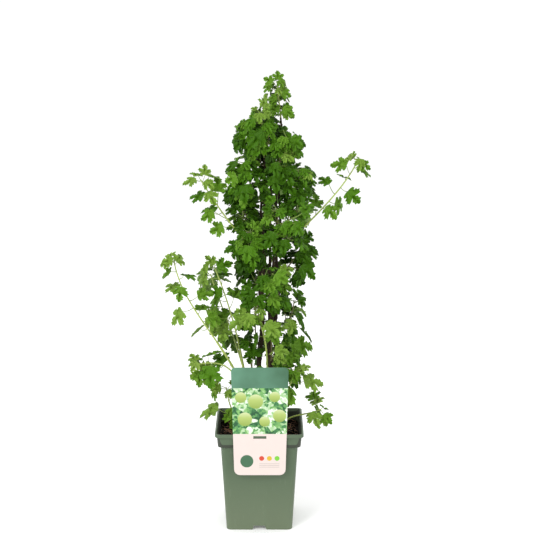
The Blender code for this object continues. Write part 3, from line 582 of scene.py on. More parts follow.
def rootlets():
    """Threads that lie on the peat: straight runs with two sideways waves, lifted in the middle."""
    t = np.linspace(0, 1, 12)
    start = crumb_draw.uniform(-1, 1, (ROOTLETS, 2)) * (top_half - ROOTLET_ROOM)
    way = unit(crumb_draw.normal(size=(ROOTLETS, 2)))
    length = crumb_draw.uniform(*ROOTLET_LENGTHS, (ROOTLETS, 1))
    swing = crumb_draw.uniform(0.5, 1.0, (ROOTLETS, 1)) * length * 0.18
    side = np.stack((-way[:, 1], way[:, 0]), -1)
    wave = np.sin(2 * np.pi * t * 1.3 + crumb_draw.uniform(0, 6, (ROOTLETS, 1)))
    plan = (start[:, None] + (length * t)[..., None] * way[:, None]
            + (swing * wave)[..., None] * side[:, None])
    plan = np.clip(plan, -top_half + ROOTLET_EDGE, top_half - ROOTLET_EDGE)
    lift = 0.0006 + 0.004 * crumb_draw.random((ROOTLETS, 1)) * np.sin(np.pi * t)
    paths = np.concatenate((plan, (ground(plan[..., 0], plan[..., 1]) + lift)[..., None]), axis=2)
    radii = crumb_draw.uniform(*ROOTLET_RADII, (ROOTLETS, 1)) * (1 - 0.5 * t)
    return tubes(paths, radii, 5)


def peat_finish():
    finish = Finish("peat", {"Roughness": 0.95, "Specular IOR Level": 0.1})
    grain = finish.noise(700.0, 8.0)
    patches = finish.noise(60.0, 3.0)
    # The peat's own near-black brown, made darker still as painted shade for the inside of the pot.
    colour = finish.ramp(grain * 0.6 + patches * 0.4, (0.38, (0.003, 0.002, 0.001)),
                         (0.56, (0.010, 0.006, 0.003)), (0.74, (0.046, 0.025, 0.014)))
    finish.paint(colour)
    finish.bump(grain, 1.0, 0.0012)
    return finish.material


def rootlet_finish():
    finish = Finish("rootlet", {"Roughness": 0.7})
    patches = finish.noise(160.0)
    finish.paint(finish.mix(patches, (0.190, 0.070, 0.034), (0.330, 0.170, 0.085)))
    finish.bump(finish.noise(2000.0), 0.4, 0.0002)
    return finish.material


peat_shape = joined(lofted(peat_rings), crumbs())
place(piece("peat", peat_shape, [peat_finish()]), "potting_soil", "potting_soil")
place(piece("rootlets", rootlets(), [rootlet_finish()]), "potting_soil", "potting_soil")

# %% [markdown]
# ## The growth rule
#
# The limbs and the spine of every mass of leaves come from the same named sizes and the same
# seed as the solids, so they lie exactly where the solids do. A draw depends only on the seed
# and on a few whole numbers, such as the number of the mass and of the leaf. That keeps every
# leaf in its place when another changes, which a running random generator would not.

# %% Sizes of the bush
SEED = 2718
STOOL_X, STOOL_TOP, STOOL_FLARE, STOOL_WAIST, LEAN = 0.010, 0.185, 0.0172, 0.0128, 0.024
SOIL_TOP = 0.155
STEM_TIPS = (0.702, 0.640, 0.636, 0.655, 0.612)
STEM_COUNT = len(STEM_TIPS)
STEM_RING, BUNDLE_RING, BUNDLE_LEVEL, STEM_TURN = 0.0085, 0.0145, 0.260, np.radians(25)
STEM_WOBBLE, WOBBLE_PITCH, WOBBLE_RATIO = 0.0028, 0.13, 1.3
STEM_ROOT_RADIUS, STEM_TIP_RADIUS = 0.0036, 0.0016
CROWN_LEVELS = (0.26, 0.34, 0.45, 0.57, 0.65, 0.70, 0.775)
CROWN_HALVES = (0.055, 0.062, 0.086, 0.088, 0.074, 0.054, 0.016)
SIDE_LEVELS, LOWEST_SIDE, SIDE_STEP, SIDE_STAGGER, SIDE_RISE = 4, 0.232, 0.104, 0.0196, 0.066
SIDE_RISE_CHANCE, SIDE_TURN_CHANCE, SIDE_ROOT_PULL, SIDE_END_PULL = 0.15, 0.55, 0.012, 0.026
SIDE_LEAST_REACH, LEAF_REACH = 0.020, 0.030
TIP_LENGTH, TIP_SPREAD, TIP_PULL = 0.060, 0.028, 0.020
TWIG_RADIUS, TWIG_TIP_RADIUS = 0.0014, 0.0010
BARK_PULL_OUT, BARK_PULL_UP = 0.6, 0.5
RULE_STATIONS = 13

# Each shoot: four control points, the share of it that is bare, root radius, stem it leaves
SHOOTS = {
    "far_left": (((-0.012, -0.018, 0), (0.013, -0.014, 0.294), (-0.128, -0.039, 0.368),
                  (-0.141, -0.050, 0.472)), 0.50, 0.0023, None),
    "inner_left": (((-0.018, 0.012, 0), (-0.004, 0.006, 0.250), (-0.040, 0.000, 0.360),
                    (-0.076, 0.000, 0.450)), 0.56, 0.0022, None),
    "low_left": (((-0.022, -0.026, 0), (-0.022, -0.034, 0.290), (-0.062, -0.040, 0.300),
                  (-0.108, -0.042, 0.290)), 0.44, 0.0016, None),
    "rim_left": (((-0.036, -0.010, 0), (-0.036, -0.012, 0.192), (-0.052, -0.026, 0.200),
                  (-0.056, -0.034, 0.248)), 0.40, 0.0014, None),
    "front": (((0.013, -0.028, 0), (0.012, -0.040, 0.290), (0.020, -0.040, 0.330),
               (-0.008, -0.046, 0.384)), 0.80, 0.0019, None),
    "low_right": (((0.036, -0.020, 0), (0.038, -0.028, 0.220), (0.050, -0.034, 0.236),
                   (0.060, -0.038, 0.280)), 0.46, 0.0016, None),
    "rim_right": (((0.040, 0.004, 0), (0.041, 0.006, 0.194), (0.078, 0.004, 0.182),
                   (0.106, -0.014, 0.203)), 0.66, 0.0014, None),
    "back_left": (((-0.012, 0.026, 0), (-0.014, 0.034, 0.260), (-0.064, 0.062, 0.350),
                   (-0.086, 0.082, 0.420)), 0.50, 0.0020, None),
    "back_right": (((0.030, 0.024, 0), (0.030, 0.030, 0.240), (0.048, 0.068, 0.290),
                    (0.058, 0.086, 0.360)), 0.50, 0.0019, None),
    "upper_left": (((0, 0, 0.470), (-0.036, -0.024, 0.520), (-0.064, -0.040, 0.552),
                    (-0.096, -0.046, 0.606)), 0.40, 0.0017, 2),
    "upper_right": (((0, 0, 0.480), (0.072, -0.006, 0.545), (0.150, 0.006, 0.590),
                     (0.165, 0.010, 0.632)), 0.34, 0.0017, 0),
    "upper_back": (((0, 0, 0.455), (0.050, 0.046, 0.500), (0.058, 0.084, 0.540),
                    (0.064, 0.106, 0.590)), 0.42, 0.0017, 1),
}


# %% Draws and curves
def chance(*key):
    """An even draw from 0 to 1 that depends only on SEED and the whole numbers in its key."""
    value = SEED
    for number in key:
        value = (value ^ (number + 0x9E3779B9)) * 0x85EBCA6B % 2 ** 32
        value ^= value >> 13
    value = value * 0xC2B2AE35 % 2 ** 32
    return (value ^ value >> 16) / 2 ** 32


def between(low, high, *key):
    return low + (high - low) * chance(*key)


def bezier(controls, shares):
    """Points of a cubic curve: (1-t)^3 a + 3t(1-t)^2 b + 3t^2(1-t) c + t^3 d."""
    a, b, c, d = np.asarray(controls, float)
    t = np.asarray(shares, float)[:, None]
    return (1 - t) ** 3 * a + 3 * t * (1 - t) ** 2 * b + 3 * t * t * (1 - t) * c + t ** 3 * d


def crown_axis(z):
    """The middle of the crown at height z: it leans to the right by LEAN per metre."""
    return np.array((STOOL_X + LEAN * (z - SOIL_TOP), 0.0, z))


def crown_half(z):
    return np.interp(z, CROWN_LEVELS, CROWN_HALVES)


def stem_path(number, stations):
    """A stem of the bundle: a circle about the crown's axis that it climbs while it turns."""
    levels = np.linspace(STOOL_TOP + GAP, STEM_TIPS[number], stations)
    share = (levels - levels[0]) / (levels[-1] - levels[0])
    spread = np.clip((levels - levels[0]) / (BUNDLE_LEVEL - levels[0]), 0, 1)
    spread = spread * spread * (3 - 2 * spread)
    turn = 2 * np.pi * number / STEM_COUNT + STEM_TURN * share * spread
    phase = 2 * np.pi * (levels / WOBBLE_PITCH + chance(number, 1))
    ring = STEM_RING + spread * (BUNDLE_RING - STEM_RING + STEM_WOBBLE * np.sin(phase))
    x = STOOL_X + spread * LEAN * (levels - SOIL_TOP) + ring * np.cos(turn)
    y = ring * np.sin(turn) + spread * STEM_WOBBLE * np.cos(WOBBLE_RATIO * phase)
    return np.stack((x, y, levels), axis=1)


def at(value, values, points):
    """The point of a path where a quantity that grows along it has a value."""
    return np.array([np.interp(value, values, points[:, i]) for i in range(3)])


def on_stem(number, level, towards):
    """A point just off a stem's bark at a level, on the side that faces a direction."""
    path = stem_path(number, RULE_STATIONS)
    middle = at(level, path[:, 2], path)
    share = (level - path[0, 2]) / (path[-1, 2] - path[0, 2])
    radius = STEM_ROOT_RADIUS + (STEM_TIP_RADIUS - STEM_ROOT_RADIUS) * share
    way = unit(np.array((towards[0], towards[1], 0.0)))
    return middle + (radius + GAP) * way, way


# %% Spines of the masses
def shoot_curve(controls, stem):
    """A shoot's control points, with its root on the soil or on the bark of its stem."""
    controls = np.array(controls, float)
    if stem is None:
        controls[0, 2] = SOIL_TOP + GAP
        controls[1, :2] = controls[0, :2]
    else:
        root, way = on_stem(stem, controls[0, 2], controls[1, :2] - crown_axis(controls[0, 2])[:2])
        rise = np.linalg.norm(controls[1] - root)
        controls[1] = root + rise * (BARK_PULL_OUT * way + np.array((0, 0, BARK_PULL_UP)))
        controls[0] = root
    return controls


def tip_curve(number):
    """The leafy end of a stem: it goes on up and spreads a little from the axis."""
    path = stem_path(number, RULE_STATIONS)
    heading = unit(path[-1] - path[-2])
    root = path[-1] + GAP * heading
    end = root + TIP_LENGTH * np.array((0, 0, 1))
    if number == 0:
        end[:2] = (crown_axis(end[2]) + end)[:2] / 2
    else:
        end += TIP_SPREAD * unit((root - crown_axis(root[2])) * (1, 1, 0))
    return np.array((root, root + TIP_PULL * heading, end - (0, 0, TIP_PULL), end))


def side_curve(number, level_number, attempt):
    """A side twig: out of the bark, then up to where its leaves reach the crown's outline."""
    key = (number, level_number, attempt)
    level = LOWEST_SIDE + level_number * SIDE_STEP + (2 * number % STEM_COUNT) * SIDE_STAGGER
    turn = 2 * np.pi * number / STEM_COUNT + between(-SIDE_TURN_CHANCE, SIDE_TURN_CHANCE, *key, 1)
    root, way = on_stem(number, level, np.array((np.cos(turn), np.sin(turn), 0.0)))
    rise = SIDE_RISE * between(1 - SIDE_RISE_CHANCE, 1 + SIDE_RISE_CHANCE, *key, 2)
    reach = max(crown_half(level + rise) - LEAF_REACH, SIDE_LEAST_REACH)
    end = crown_axis(level + rise) + way * reach
    return np.array((root, root + SIDE_ROOT_PULL * way, end - (0, 0, SIDE_END_PULL), end))


# %% [markdown]
# ## Neighbours
#
# A leaf is only kept where it touches nothing that has grown before it. Blender's search tree
# answers that in a moment: each limb, stalk and blade is kept as a tree of a few triangles. A
# mass also keeps to its own space, the part of the crown that is nearer to its spine than to
# any other, so that no mass runs through its neighbour.

# %% Neighbourhood
SPACE_SLACK = 0.016


class Neighbourhood:
    """Everything grown so far, as search trees, with the spines that share out the space."""

    def __init__(self):
        self.trees, self.owners, self.wood = [], [], []
        self.middles, self.reaches = np.empty((0, 3)), np.empty(0)

    def share_space(self, spines):
        """The points of all spines in one array, and where each mass's points start in it."""
        self.names = list(spines)
        self.spine_points = np.concatenate(list(spines.values()))
        self.starts = np.cumsum([0] + [len(spine) for spine in spines.values()])[:-1]

    def add(self, owner, shape, wood):
        middle, reach = ball(shape[0])
        self.trees.append(search_tree(*shape))
        self.middles = np.concatenate((self.middles, middle[None]))
        self.reaches = np.append(self.reaches, reach)
        self.owners.append(owner)
        self.wood.append(wood)

    def meets(self, shape, pass_over=None):
        """Whether a shape cuts anything already there, leaving out the wood of one owner."""
        middle, reach = ball(shape[0])
        near = np.linalg.norm(self.middles - middle, axis=1) < reach + self.reaches
        tree = search_tree(*shape)
        return any(self.trees[i].overlap(tree) for i in np.flatnonzero(near)
                   if not (self.wood[i] and self.owners[i] == pass_over))

    def in_own_space(self, owner, points):
        """Whether points lie nearer to their own spine than to any other, within the slack."""
        away = np.linalg.norm(points[:, None] - self.spine_points, axis=2)
        nearest = np.minimum.reduceat(away, self.starts, axis=1)
        own = self.names.index(owner)
        others = np.delete(nearest, own, axis=1).min(axis=1)
        return bool((nearest[:, own] < others + SPACE_SLACK).all())


def ball(points):
    """The mean of some points and how far they reach from it."""
    middle = points.mean(axis=0)
    return middle, np.linalg.norm(points - middle, axis=1).max()


def search_tree(points, faces):
    polygons = [tuple(row) for face in faces for row in face.tolist()]
    return BVHTree.FromPolygons(points.tolist(), polygons)


# %% [markdown]
# ## Where a leaf goes
#
# Leaves leave a twig one by one, each turned by the golden angle from the last. The stalk bends
# out of the crown and up. The blade turns its face up and to the light, which comes from the
# front on the front half of the bush and from the back on the other, and droops at its tip.

# %% Leaf places
GOLDEN_TURN = np.pi * (3 - 5 ** 0.5)
LEAF_LENGTH = 0.0335
TOP_LEAF_LEVELS, TOP_LEAF_SHARES = (0.66, 0.76), (1.0, 0.76)
STALK_SHARE = 0.56
STALK_CHANCE = (0.6, 1.45)
LEAF_DROOP = np.radians(17)
AIM_SIDE, AIM_OUT, AIM_UP, AIM_CHANCE = 0.95, 0.55, 0.35, 0.30
FACE_LIGHT, FACE_UP, FACE_SIDE, FACE_CHANCE = 0.64, 0.66, 0.20, 0.44
LIGHT_ACROSS, LIGHT_DIVIDE, LIGHT_LEAST = 0.28, 0.045, 0.032
# Beyond the crown's outline the pull away from its axis fades over this length
ARM_FADE = 0.02
UP = np.array((0.0, 0.0, 1.0))


def across(direction):
    """A direction square to the given one, level where that is possible."""
    helper = UP if abs(direction[2]) < 0.9 else np.array((1.0, 0, 0))
    return unit(np.cross(direction, helper))


def outward(point):
    """The level direction from the crown's axis to a point."""
    return unit((point - crown_axis(point[2])) * (1, 1, 0) + 1e-6)


def leaf_length(point):
    """Leaves are smaller towards the top of the bush."""
    return LEAF_LENGTH * np.interp(point[2], TOP_LEAF_LEVELS, TOP_LEAF_SHARES)


def leaf_place(point, along, turn, size, key):
    """Where a leaf goes: (root, foot, sideways, forward, normal, length).

    The stalk runs along side + out + up + chance, each times its own share, and the blade faces
    light + up + side + chance in the same way.
    """
    jitter = np.array([between(-1, 1, *key, i) for i in range(3)])
    side = across(along)
    side = np.cos(turn) * side + np.sin(turn) * np.cross(along, side)
    past = max(abs(point - crown_axis(point[2]))[0] - crown_half(point[2]), 0.0)
    inside = np.exp(-past / ARM_FADE)
    aim = unit(AIM_SIDE * side + AIM_OUT * inside * outward(point) + AIM_UP * UP
               + AIM_CHANCE * jitter)
    foot = point + size * STALK_SHARE * between(*STALK_CHANCE, *key, 3) * aim
    light = (foot - crown_axis(foot[2])) * (LIGHT_ACROSS * inside, 1, 0) - (0, LIGHT_DIVIDE, 0)
    light = light / max(np.linalg.norm(light), LIGHT_LEAST)
    face = unit(FACE_LIGHT * light + FACE_UP * UP + FACE_SIDE * side + FACE_CHANCE * jitter[::-1])
    sideways = unit(np.cross(aim, face))
    level = np.cross(face, sideways)
    forward = np.cos(LEAF_DROOP) * level - np.sin(LEAF_DROOP) * face
    normal = np.cos(LEAF_DROOP) * face + np.sin(LEAF_DROOP) * level
    return point, foot, sideways, forward, normal, size


# %% [markdown]
# ## The growth itself
#
# Each mass grows along its spine: mostly single leaves, at every third place of a column mass a
# short side twig with leaves of its own, and a tuft at the end. A leaf that would touch
# something is tried at other turns and a little smaller, and given up if none fits. What room is
# left in the upper crown is then filled with smaller leaves in two rounds.

# %% Growth
LEAF_TRIES, LEAF_SWING, LEAF_TRIAL_FADE = 13, 0.42, 0.022
LEAF_SIZE_CHANCE = (0.80, 1.16)
LEAF_ROOT_SHARE, LEAF_FADE = 1.10, 0.38
TRIAL_HALF = ((0, 0.05), (0.07, 0.38), (0.50, 0.56), (0.62, 0.28), (1.0, 0.0))
TRIAL_OUTLINE = np.array(TRIAL_HALF + tuple((u, -v) for u, v in TRIAL_HALF[-2::-1]))
TRIAL_RISE, TRIAL_BEND, TRIAL_THICK = 0.08, 0.16, 0.050
STALK_ROOM, STALK_FREE = 0.0007, 0.25
# How far the leaves of the upright stems reach to each side of the crown's axis, by height
OUTLINE_LEVELS = (0.28, 0.31, 0.34, 0.40, 0.44, 0.47, 0.50,
                  0.54, 0.60, 0.66, 0.69, 0.71, 0.745, 0.78)
OUTLINE_RIGHT = (0.066, 0.050, 0.068, 0.066, 0.096, 0.088, 0.070,
                 0.086, 0.083, 0.056, 0.048, 0.036, 0.028, 0.014)
OUTLINE_LEFT = (0.052, 0.054, 0.058, 0.060, 0.062, 0.066, 0.085,
                0.092, 0.080, 0.076, 0.060, 0.042, 0.036, 0.018)
LOWEST_LEAF = 0.142
REACH_SLACK = 0.007
SIDE_SPACING, SHOOT_SPACING, LEAST_LEAVES = 0.0078, 0.0140, 3
LOW_LEVELS, LOW_SPREADS = (0.28, 0.38), (1.5, 1.0)
SHOOT_LEAF_SHARES = {"leaves_low_left": 1.26, "leaves_low_right": 1.12, "leaves_far_left": 0.94,
                     "leaves_upper_left": 0.92, "leaves_upper_right": 0.88, "leaves_upper_back": 1.24}
SHOOT_BARE, TIP_BARE, SIDE_BARE = 0.04, 0.06, 0.16
END_LEAVES, END_LEAF_SHARE, END_LEAF_STEP = 4, 0.70, 0.0012
BRANCHLET_EVERY, BRANCHLET_LENGTH, BRANCHLET_CHANCE, BRANCHLET_LIFT = 3, 0.028, 0.2, 0.004
BRANCHLET_LEAVES = (0.36, 0.58, 0.78, 0.96)
BRANCHLET_LEAF_SHARE, BRANCHLET_TURN, BRANCHLET_RADIUS, BRANCHLET_FREE = 0.90, 2.1, 0.0009, 0.15
BRANCHLET_CLEAR = 1.3


def trial_blade(leaf):
    """A plain thick blade, to test what a leaf would touch: rise u - bend (u^2 + v^2)."""
    _, foot, sideways, forward, normal, length = leaf
    u, v = TRIAL_OUTLINE.T[..., None]
    height = TRIAL_RISE * u - TRIAL_BEND * u * u - TRIAL_BEND * v * v
    rim = foot + length * (u * forward + v * sideways + height * normal)
    faces = foot + length * (0.4 * forward + np.array(((TRIAL_THICK,), (-TRIAL_THICK,))) * normal)
    here = np.arange(len(rim))
    after = (here + 1) % len(rim)
    fans = [np.stack((here * 0 + len(rim) + i, here, after), -1) for i in range(2)]
    return np.concatenate((rim, faces)), fans


def straight(start, end, radius):
    return tubes(np.array((start, end))[None], radius, 3)


def trial_stalk(leaf):
    """The stalk of a leaf, without its first part, which grows out of the twig."""
    return straight(leaf[0] + STALK_FREE * (leaf[1] - leaf[0]), leaf[1], STALK_ROOM)


def upright(name):
    """Whether a mass belongs to the upright stems, and not to a shoot."""
    return name[7:8].isdigit() or "tip" in name


def past_outline(points):
    """Whether any point lies outside the outline of the upright stems' leaves."""
    off = points[:, 0] - (STOOL_X + LEAN * (points[:, 2] - SOIL_TOP))
    right, left = (np.interp(points[:, 2], OUTLINE_LEVELS, halves)
                   for halves in (OUTLINE_RIGHT, OUTLINE_LEFT))
    return bool((off > right).any() or (-off > left).any())


def fits(around, owner, leaf):
    """Whether a leaf keeps to its mass's space, above the pot's side, and touches nothing."""
    blade = trial_blade(leaf)
    points = blade[0]
    low, high = (np.array(corner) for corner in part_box(owner))
    past = max((low - points).max(), (points - high).max())
    if points[:, 2].min() < LOWEST_LEAF or past > REACH_SLACK:
        return False
    if not around.in_own_space(owner, points) or (upright(owner) and past_outline(points)):
        return False
    return not around.meets(blade) and not around.meets(trial_stalk(leaf), pass_over=owner)


def add_leaf(around, owner, key, point, along, turn, size, leaves, tries=LEAF_TRIES):
    """Tries a leaf at a few turns and sizes, and keeps the first that fits."""
    for attempt in range(tries):
        swing = turn + (attempt + 1) // 2 * LEAF_SWING * (-1) ** attempt
        drawn_size = size * between(*LEAF_SIZE_CHANCE, *key, attempt, 9)
        trial_size = drawn_size * (1 - LEAF_TRIAL_FADE * attempt)
        leaf = leaf_place(point, along, swing, trial_size, (*key, attempt))
        if fits(around, owner, leaf):
            leaves.append(leaf)
            around.add(owner, trial_blade(leaf), wood=False)
            around.add(owner, trial_stalk(leaf), wood=False)
            return


def grow_branchlet(around, owner, key, point, along, turn, size, branchlets, leaves):
    """A short side twig with leaves round it, or one leaf where there is no room for a twig."""
    leaf = leaf_place(point, along, turn, size, (*key, 50))
    way = unit(leaf[1] - point + (0, 0, BRANCHLET_LIFT))
    reach = BRANCHLET_LENGTH * between(1 - BRANCHLET_CHANCE, 1 + BRANCHLET_CHANCE, *key, 51)
    end = point + reach * way
    free = straight(point + BRANCHLET_FREE * (end - point), end, 1.5 * BRANCHLET_RADIUS)
    past = upright(owner) and past_outline((point + BRANCHLET_CLEAR * (end - point))[None])
    if past or around.meets(free, pass_over=owner) or not around.in_own_space(owner, end[None]):
        add_leaf(around, owner, key, point, along, turn, size, leaves)
        return
    around.add(owner, free, wood=True)
    before = len(leaves)
    for j, share in enumerate(BRANCHLET_LEAVES):
        root = point + share * (end - point)
        leaf_turn, leaf_size = turn + j * BRANCHLET_TURN, BRANCHLET_LEAF_SHARE * size
        add_leaf(around, owner, (*key, j), root, way, leaf_turn, leaf_size, leaves)
    if len(leaves) > before:
        branchlets.append((point, end))


def grow_mass(around, owner, number, spine, bare):
    """The side twigs and leaves of one mass, in the order in which they leave its spine."""
    length = np.linalg.norm(np.diff(spine, axis=0), axis=1).sum()
    spacing = SHOOT_SPACING
    if upright(owner):
        spacing = SIDE_SPACING * np.interp(spine[0, 2], LOW_LEVELS, LOW_SPREADS)
    count = max(int(length * (1 - bare) / spacing), LEAST_LEAVES)
    shares = np.linspace(0, 1, len(spine))
    ways = unit(np.gradient(spine, axis=0))
    branchlets, leaves = [], []
    for j in range(count):
        share = bare + (1 - bare) * (j + 0.5) / count
        point, along = at(share, shares, spine), unit(at(share, shares, ways))
        turn = j * GOLDEN_TURN + 2 * np.pi * chance(number, 7)
        size = leaf_length(point) * (LEAF_ROOT_SHARE - LEAF_FADE * share ** 2)
        size *= SHOOT_LEAF_SHARES.get(owner, 1.0)
        if upright(owner) and j % BRANCHLET_EVERY == 1 and j < count - 2:
            grow_branchlet(around, owner, (number, j), point, along, turn, size, branchlets, leaves)
        else:
            add_leaf(around, owner, (number, j), point, along, turn, size, leaves)
    for j in range(END_LEAVES):
        turn = (j + chance(number, 8)) * 2 * np.pi / END_LEAVES
        point = spine[-1] - END_LEAF_STEP * (j + 1) * ways[-1]
        size = END_LEAF_SHARE * leaf_length(point)
        add_leaf(around, owner, (number, count + j), point, ways[-1], turn, size, leaves)
    return branchlets, leaves


# %% Small leaves in the room that is left
FILL_ROUNDS, FILL_LOWEST, FILL_TRIES = (0.74, 0.58), (0.36, 0.46), 6
FILL_KEY = 400
FILL_TWIG_SHARES = (0.25, 0.5, 0.75, 0.99)


def fill_mass(around, owner, number, spine, bare, branchlets, leaves, fill):
    """Smaller leaves at every station of the spine and along the side twigs, where they fit."""
    ways = unit(np.gradient(spine, axis=0))
    places = [(spine[i], ways[i]) for i in range(int(bare * len(spine)) + 1, len(spine))]
    for start, end in branchlets:
        places += [(start + share * (end - start), unit(end - start)) for share in FILL_TWIG_SHARES]
    for j, (point, along) in enumerate(places):
        key = (number, FILL_KEY * (fill + 1) + j)
        size = leaf_length(point) * FILL_ROUNDS[fill]
        add_leaf(around, owner, key, point, along, 2 * np.pi * chance(*key), size, leaves, FILL_TRIES)


# %% [markdown]
# The photograph shows some shoots in full view, with no leaf before them. A thin curtain that
# hangs from such a shoot towards the front is put among the neighbours while leaves are tried,
# so that each leaf that would hide the shoot is turned or left out. It isn't a piece of its own.

# %% Shoots in view
OPEN_SHOOTS = ("far_left", "inner_left", "front")
CURTAIN_DEPTH = 0.060


def curtain(path):
    """A strip from a path to the same path nearer to the front."""
    strip = np.concatenate((path, path - (0, CURTAIN_DEPTH, 0)))
    here = np.arange(len(path) - 1)
    return strip, [np.stack((here, here + 1, here + 1 + len(path), here + len(path)), -1)]


# %% Grow the bush
SHOOT_STATIONS, UPRIGHT_STATIONS, STEM_STATIONS = 24, 16, 60


def node_shape(name):
    """A node's own points and faces."""
    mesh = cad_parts[name].data
    points = np.array([vertex.co for vertex in mesh.vertices])
    return points, [np.array([tuple(polygon.vertices) for polygon in mesh.polygons])]


def bough_radii(name, stations):
    """A bough tapers as if it ran on to its shoot's tip, but ends where the leaves start."""
    _, bare, radius, _ = SHOOTS[name]
    return np.linspace(radius, radius + (TWIG_RADIUS - radius) * bare, stations)


def spine_tube(spine, sides):
    return tubes(spine[None], np.linspace(TWIG_RADIUS, TWIG_TIP_RADIUS, len(spine)), sides)


def free_side_spine(around, number, level_number):
    """The first of a few side twigs that touches nothing, or the last one tried."""
    for attempt in range(LEAF_TRIES):
        curve = side_curve(number, level_number, attempt)
        spine = bezier(curve, np.linspace(0, 1, UPRIGHT_STATIONS))
        if not around.meets(spine_tube(spine, 3)):
            break
    return spine


around = Neighbourhood()
for name in ("stool", "pot", "plant_label"):
    around.add(name, node_shape(name), wood=True)
for number in range(STEM_COUNT):
    radii = np.linspace(STEM_ROOT_RADIUS, STEM_TIP_RADIUS, STEM_STATIONS)
    stem_tube = tubes(stem_path(number, STEM_STATIONS)[None], radii, 6)
    around.add(f"main_stem_{number + 1}", stem_tube, wood=True)

spines, shoot_curves = {}, {}
for name, (controls, bare, _, stem) in SHOOTS.items():
    shoot_curves[name] = shoot_curve(controls, stem)
    path = bezier(shoot_curves[name], np.linspace(0, bare, SHOOT_STATIONS))
    spine = bezier(shoot_curves[name], np.linspace(bare, 1, SHOOT_STATIONS))
    spines["leaves_" + name] = (spine, SHOOT_BARE)
    bough_tube = tubes(path[None], bough_radii(name, SHOOT_STATIONS), 5)
    around.add("bough_" + name, bough_tube, wood=True)
    if name in OPEN_SHOOTS:
        around.add("before " + name, curtain(path), wood=False)
for number in range(STEM_COUNT):
    spine = bezier(tip_curve(number), np.linspace(0, 1, UPRIGHT_STATIONS))
    spines[f"leaves_tip_{number + 1}"] = (spine, TIP_BARE)
for name, (spine, _) in spines.items():
    around.add(name, spine_tube(spine, 3), wood=True)
for level_number in range(SIDE_LEVELS):
    for number in range(STEM_COUNT):
        name = f"leaves_{number + 1}_{level_number + 1}"
        spine = free_side_spine(around, number, level_number)
        spines[name] = (spine, SIDE_BARE)
        around.add(name, spine_tube(spine, 3), wood=True)
around.share_space({name: spine for name, (spine, _) in spines.items()})

grown = {}
for number, (name, (spine, bare)) in enumerate(spines.items()):
    grown[name] = grow_mass(around, name, number, spine, bare)
for fill, lowest in enumerate(FILL_LOWEST):
    for number, (name, (spine, bare)) in enumerate(spines.items()):
        if upright(name) and spine[0, 2] > lowest:
            fill_mass(around, name, number, spine, bare, *grown[name], fill)
print("masses:", len(grown), "leaves:", sum(len(leaves) for _, leaves in grown.values()),
      "side twigs:", sum(len(branchlets) for branchlets, _ in grown.values()))

# %% [markdown]
# ## Stems, stool and shoots
#
# The skin of a limb is its round tube with two kinds of relief: ridges that wind along it, and
# knots where leaves once sat. Both are waves in the radius. The ridges change it by a tenth at
# most and the knots by less than half, and only for a few millimetres, so that the limb keeps
# its true thickness.

# %% Limbs
RIDGE_TRAVEL, KNOT_HEIGHT, KNOT_LEAN, KNOT_SHARPNESS = 40, 0.22, 0.6, 12


def bark_relief(stations, sides, ridge, knot_every, start):
    """Relief by the angle a and the way s along the limb.

    Ridges: sines of 2 a, 3 a and 5 a that turn slowly with s. Knots: a cosine along the limb to
    a high power, higher on one side, which changes with s.
    """
    s = np.linspace(0, 1, stations)[:, None] * RIDGE_TRAVEL + start
    a = np.arange(sides) * 2 * np.pi / sides
    ridges = np.sin(3 * a + 0.35 * s) + 0.7 * np.sin(5 * a - 0.6 * s) + 0.5 * np.sin(2 * a + 1.7 * s)
    knots = np.cos(2 * np.pi * np.arange(stations)[:, None] / knot_every)
    knots = np.maximum(knots, 0) ** KNOT_SHARPNESS
    lean = 1 + KNOT_LEAN * np.cos(a - 2.4 * np.floor(s))
    return ridge * ridges + KNOT_HEIGHT * knots * lean


def limb(path, radii, sides, ridge, knot_every, start):
    return tubes(path[None], radii, sides, bark_relief(len(path), sides, ridge, knot_every, start))


# Stations, sides, depth of the ridges as a share of the radius, stations from knot to knot
STEM_SKIN, SHOOT_SKIN, STOOL_SKIN = (160, 12, 0.05, 9), (70, 9, 0.02, 10), (26, 40, 0.035, 9)
STOOL_DEPTH, RIDGE_ROOM = 0.004, 0.0006

for number in range(STEM_COUNT):
    radii = np.linspace(STEM_ROOT_RADIUS, STEM_TIP_RADIUS, STEM_SKIN[0])
    stem = limb(stem_path(number, STEM_SKIN[0]), radii, *STEM_SKIN[1:], 3.0 * number)
    place(piece(f"stem_{number + 1}", stem, [bark]), "bark", f"main_stem_{number + 1}")

stool_levels = np.linspace(SOIL_TOP - STOOL_DEPTH, STOOL_TOP, STOOL_SKIN[0])
stool_share = np.clip((stool_levels - SOIL_TOP) / (STOOL_TOP - SOIL_TOP), 0, 1)
stool_radii = STOOL_WAIST + (STOOL_FLARE - STOOL_WAIST) * (1 - stool_share) ** 2 - RIDGE_ROOM
stool_path = np.stack((0 * stool_levels + STOOL_X, 0 * stool_levels, stool_levels), -1)
stool = limb(stool_path, stool_radii, *STOOL_SKIN[1:], 1.0)
place(piece("stool_wood", stool, [bark]), "bark", "stool")

for number, (name, curve) in enumerate(shoot_curves.items()):
    path = bezier(curve, np.linspace(0, SHOOTS[name][1], SHOOT_SKIN[0]))
    skin = limb(path, bough_radii(name, SHOOT_SKIN[0]), *SHOOT_SKIN[1:], 2.0 * number)
    place(piece("shoot_" + name, skin, [shoot_green]), "young_bark", "bough_" + name)

# %% [markdown]
# ## Twigs, stalks and blades
#
# One blade is drawn once, flat: its outline has five lobes with blunt teeth, and seven points
# on its veins let it fold there. Every triangle has a corner on a vein, so the upper and lower
# skins meet only at the rim and never lie in one another. All the leaves are then that pattern
# under array sums: bent, folded and turned by their own numbers. An instance of one shared mesh
# would be lighter, but then every leaf bends alike.

